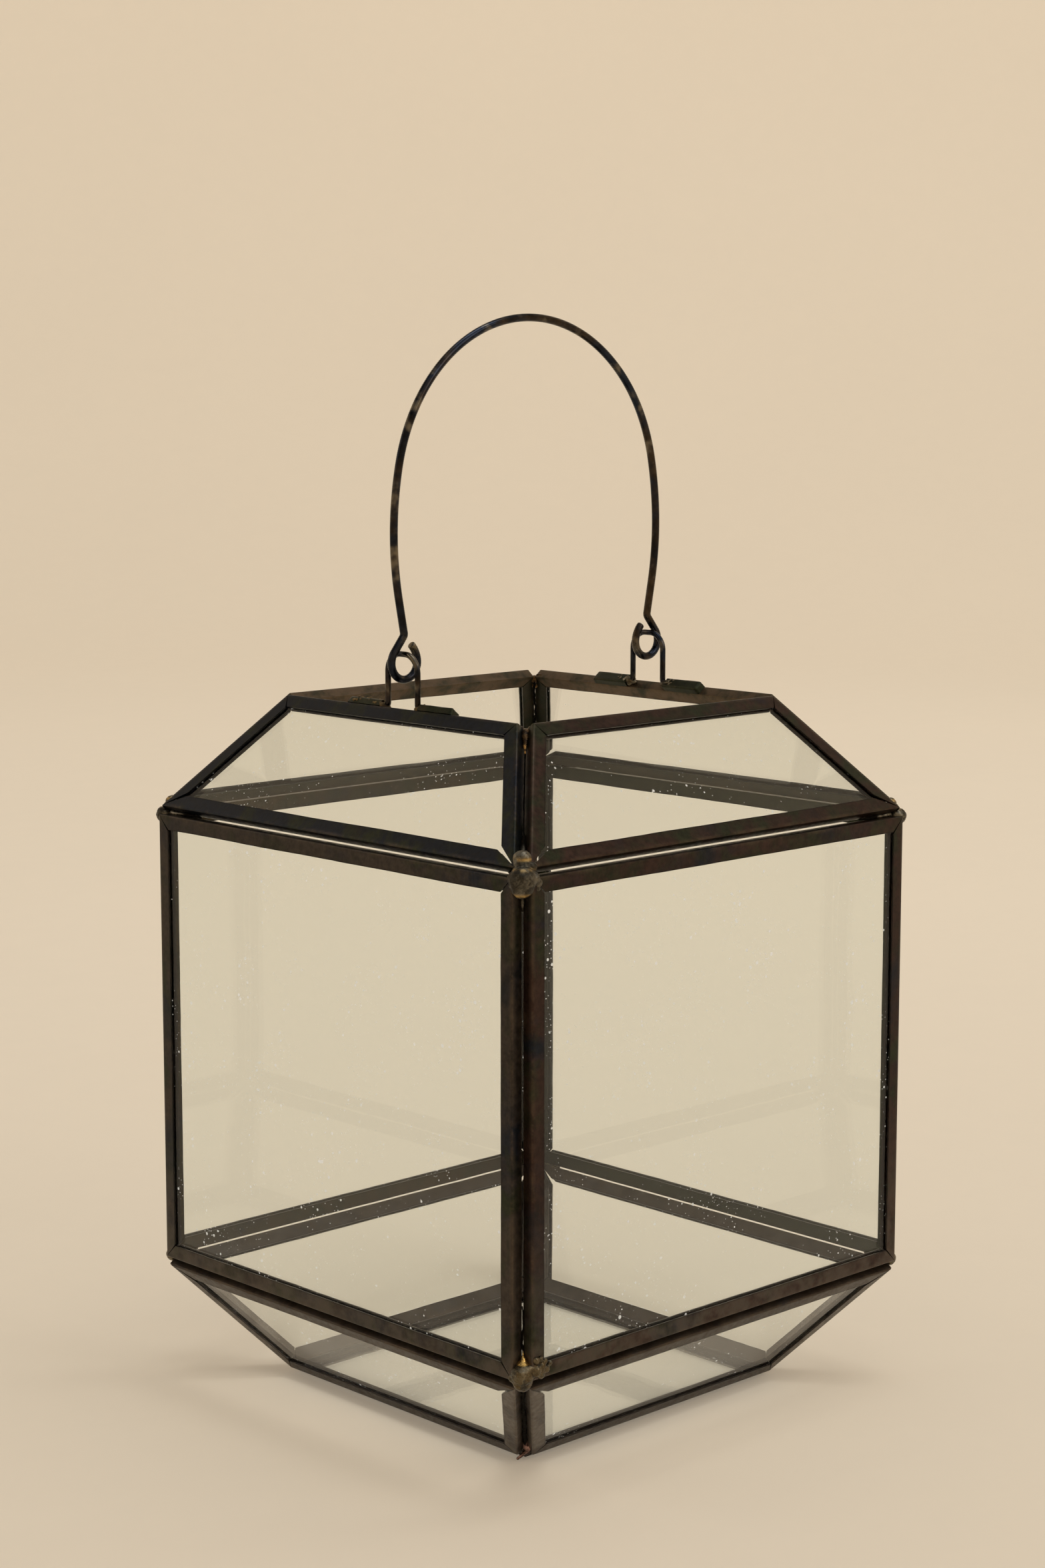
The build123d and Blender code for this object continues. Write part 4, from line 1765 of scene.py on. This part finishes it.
@dataclass
class Studio:
    """A round cream sweep, soft lamps and the camera."""

    paper: Material
    floor_radius: float = 2.2
    sweep_radius: float = 1.1
    wall_height: float = 2.2
    room_tone: Colour = (1.0, 0.97, 0.92)
    room_glow: float = 0.23
    lens: float = 66.27
    sensor: float = 36.0
    camera_place: Vector = field(default_factory=lambda: Vector((-0.5889, -0.6110, 0.3023)))
    camera_yaw: float = 46.21
    camera_pitch: float = -8.10
    lamps: tuple[Lamp, ...] = (
        Lamp("overhead", Vector((0.1, -0.9, 2.5)), Vector((0.2, -0.1, 0.0)), 3.4, 12.0),
        Lamp("front", Vector((0.7, -2.0, 1.5)), Vector((0.0, 0.0, 0.0)), 1.4, 7.5),
        Lamp("backdrop", Vector((0.6, 0.0, 2.6)), Vector((2.7, 2.5, 0.9)), 1.8, 24.0),
        Lamp("left", Vector((-1.5, 1.4, 1.1)), Vector((0.0, 0.0, 0.12)), 0.9, 2.2, COOL),
    )

    def sweep(self) -> None:
        """Makes the floor and the wall that rises from it all round."""
        bm = bmesh.new()
        first = bm.verts.new((0, 0, 0))
        edge = bmesh.ops.extrude_vert_indiv(bm, verts=[first])["verts"][0]
        edge.co = (self.floor_radius, 0, 0)
        arc = bmesh.ops.spin(
            bm, geom=[edge], cent=(self.floor_radius, 0, self.sweep_radius), axis=(0, -1, 0),
            angle=math.radians(90), steps=16)
        foot = only(bmesh.types.BMVert, arc["geom_last"])[0]
        top = bmesh.ops.extrude_vert_indiv(bm, verts=[foot])["verts"][0]
        top.co = (foot.co.x, 0, self.sweep_radius + self.wall_height)
        bmesh.ops.spin(
            bm, geom=bm.verts[:] + bm.edges[:], cent=(0, 0, 0), axis=(0, 0, 1),
            angle=math.radians(360), steps=96, use_merge=True)
        bmesh.ops.remove_doubles(bm, verts=bm.verts[:], dist=10 * MERGE)
        bmesh.ops.recalc_face_normals(bm, faces=bm.faces[:])
        bmesh.ops.reverse_faces(bm, faces=bm.faces[:])
        Sculpt.piece(bm, "sweep", self.paper, sharp=60.0)

    def light(self) -> None:
        """Hangs the lamps and sets the dim light of the room."""
        for lamp in self.lamps:
            data = bpy.data.lights.new(lamp.name, "AREA")
            data.shape = "DISK"
            data.size = lamp.size
            data.energy = lamp.power
            data.color = lamp.colour
            made = bpy.data.objects.new(lamp.name, data)
            made.location = lamp.place
            made.rotation_euler = (lamp.aim - lamp.place).to_track_quat("-Z", "Y").to_euler()
            bpy.context.scene.collection.objects.link(made)
        world = bpy.data.worlds.new("room")
        world.use_nodes = True
        backing = world.node_tree.nodes["Background"]
        backing.inputs["Color"].default_value = (*self.room_tone, 1.0)
        backing.inputs["Strength"].default_value = self.room_glow
        bpy.context.scene.world = world
        bpy.context.scene.view_settings.view_transform = "Standard"

    def camera(self) -> None:
        """Places the camera."""
        data = bpy.data.cameras.new("camera")
        data.lens = self.lens
        data.sensor_width = self.sensor
        data.clip_start = 0.01
        data.clip_end = 20.0
        made = bpy.data.objects.new("camera", data)
        yaw, pitch = math.radians(self.camera_yaw), math.radians(self.camera_pitch)
        level = math.cos(pitch)
        ahead = Vector((math.cos(yaw) * level, math.sin(yaw) * level, math.sin(pitch)))
        made.location = self.camera_place
        made.rotation_euler = ahead.to_track_quat("-Z", "Y").to_euler()
        bpy.context.scene.collection.objects.link(made)
        bpy.context.scene.camera = made

    def build(self) -> None:
        """Sets up the whole studio."""
        self.sweep()
        self.light()
        self.camera()


# ---------------------------------------------------------------- everything


GROUND: Colour = (0.0085, 0.0068, 0.0058)
BROWN: Colour = (0.034, 0.022, 0.013)
BLUE: Colour = (0.009, 0.012, 0.020)
OLIVE: Colour = (0.022, 0.026, 0.011)
RED_BROWN: Colour = (0.040, 0.020, 0.014)
GREY_BROWN: Colour = (0.046, 0.035, 0.027)
BRONZE: Colour = (0.120, 0.078, 0.044)
UMBER: Colour = (0.044, 0.030, 0.013)
PEWTER: Colour = (0.20, 0.178, 0.135)
DULL_PEWTER: Colour = (0.125, 0.115, 0.088)
TARNISH: Colour = (0.040, 0.035, 0.026)
GOLD: Colour = (0.60, 0.40, 0.15)


def channel_finishes(effects: Effects) -> dict[str, Material]:
    """One patina for each group of walls.

    Args:
        effects: The shared node groups.

    Returns:
        Materials by wall name.
    """
    rows = {
        # The top left wall's raised blue share is painted cool reflection from the left, laid over the
        # patina.
        "top_left": ("blue_black", GROUND, BROWN, BLUE, OLIVE, 0.35, 0.55, 0.25),
        "top_front": ("red_brown", GROUND, RED_BROWN, BLUE, OLIVE, 0.6, 0.22, 0.3),
        "side_left": ("dark_brown", GROUND, GREY_BROWN, BLUE, OLIVE, 0.55, 0.3, 0.25),
        "side_front": ("warm_brown", GROUND, RED_BROWN, BLUE, OLIVE, 0.55, 0.25, 0.25),
        "low": ("grey_brown", GROUND, GREY_BROWN, BLUE, BROWN, 0.55, 0.25, 0.4),
        "far": ("bronze", GROUND, UMBER, OLIVE, OLIVE, 0.5, 0.4, 0.4, 0.6),
        "side_back": ("umber", GROUND, UMBER, BLUE, OLIVE, 0.6, 0.25, 0.3, 0.2),
        "side_right": ("olive", GROUND, UMBER, OLIVE, OLIVE, 0.3, 0.5, 0.5, 0.1),
    }
    paler = {"far": BRONZE, "side_back": UMBER, "side_right": OLIVE}
    made = {}
    for index, (key, (name, *tones)) in enumerate(rows.items()):
        pale_tone = paler.get(key, ChannelPatina.pale_tone)
        patina = ChannelPatina("patina_" + name, *tones, pale_tone=pale_tone)
        made[key] = patina.material(effects, 0.31 * index)
    table = {}
    for wall in BodyShape().walls():
        group = "low" if wall.name.startswith(("bottom", "base")) else "far"
        table[wall.name] = made.get(wall.name, made[group])
    return table


def solder_finishes(effects: Effects) -> dict[str, Material]:
    """The solders, from clean pewter to crusted.

    Args:
        effects: The shared node groups.

    Returns:
        Materials by name.
    """
    rows = (
        ("pewter", PEWTER, TARNISH, GOLD, 0.05, 0.36, 0.26, 0.46),
        ("rough", DULL_PEWTER, TARNISH, (0.66, 0.42, 0.13), 0.02, 0.36, 0.18, 0.34),
        ("brassy", (0.075, 0.050, 0.030), (0.028, 0.019, 0.013), (0.62, 0.33, 0.10), 0.0, 0.5),
        ("coppery", (0.055, 0.036, 0.024), (0.025, 0.017, 0.012), (0.40, 0.24, 0.21), 0.15, 0.5),
        ("crusted", (0.14, 0.10, 0.055), (0.05, 0.038, 0.025), (0.34, 0.23, 0.10),
         0.35, 0.5, 0.4, 0.7))
    return {
        name: SolderFinish(name + "_solder", *values).material(effects, 0.2) for name, *values in rows}


def main() -> None:
    """Builds the sub-assemblies in order."""
    logging.basicConfig(level=logging.INFO, format="%(message)s")
    noise.seed_set(NOISE_SEED)
    effects = Effects()
    shape = BodyShape()
    Studio(StagePaper().material()).build()
    channels = channel_finishes(effects)
    ChannelFrames(shape, channels).build()
    panes = [
        PaneGlass("clear_glass_" + str(index)).material(effects, 0.4 * index) for index in range(3)]
    GlassPanes(shape, panes).build()
    solders = solder_finishes(effects)
    runs = zip(SolderRun, ("pewter", "rough", "brassy", "coppery"))
    CornerSolder(shape, {kind: solders[name] for kind, name in runs}).build()
    wire = WireFinish("gunmetal_wire").material(effects, 0.1)
    dabs = {Facing.LEFT: solders["crusted"], Facing.RIGHT: solders["pewter"]}
    StapleSet(shape, wire, channels["top_back"], dabs).build()
    BailHandle(wire).build()


if __name__ == "__main__":
    main()
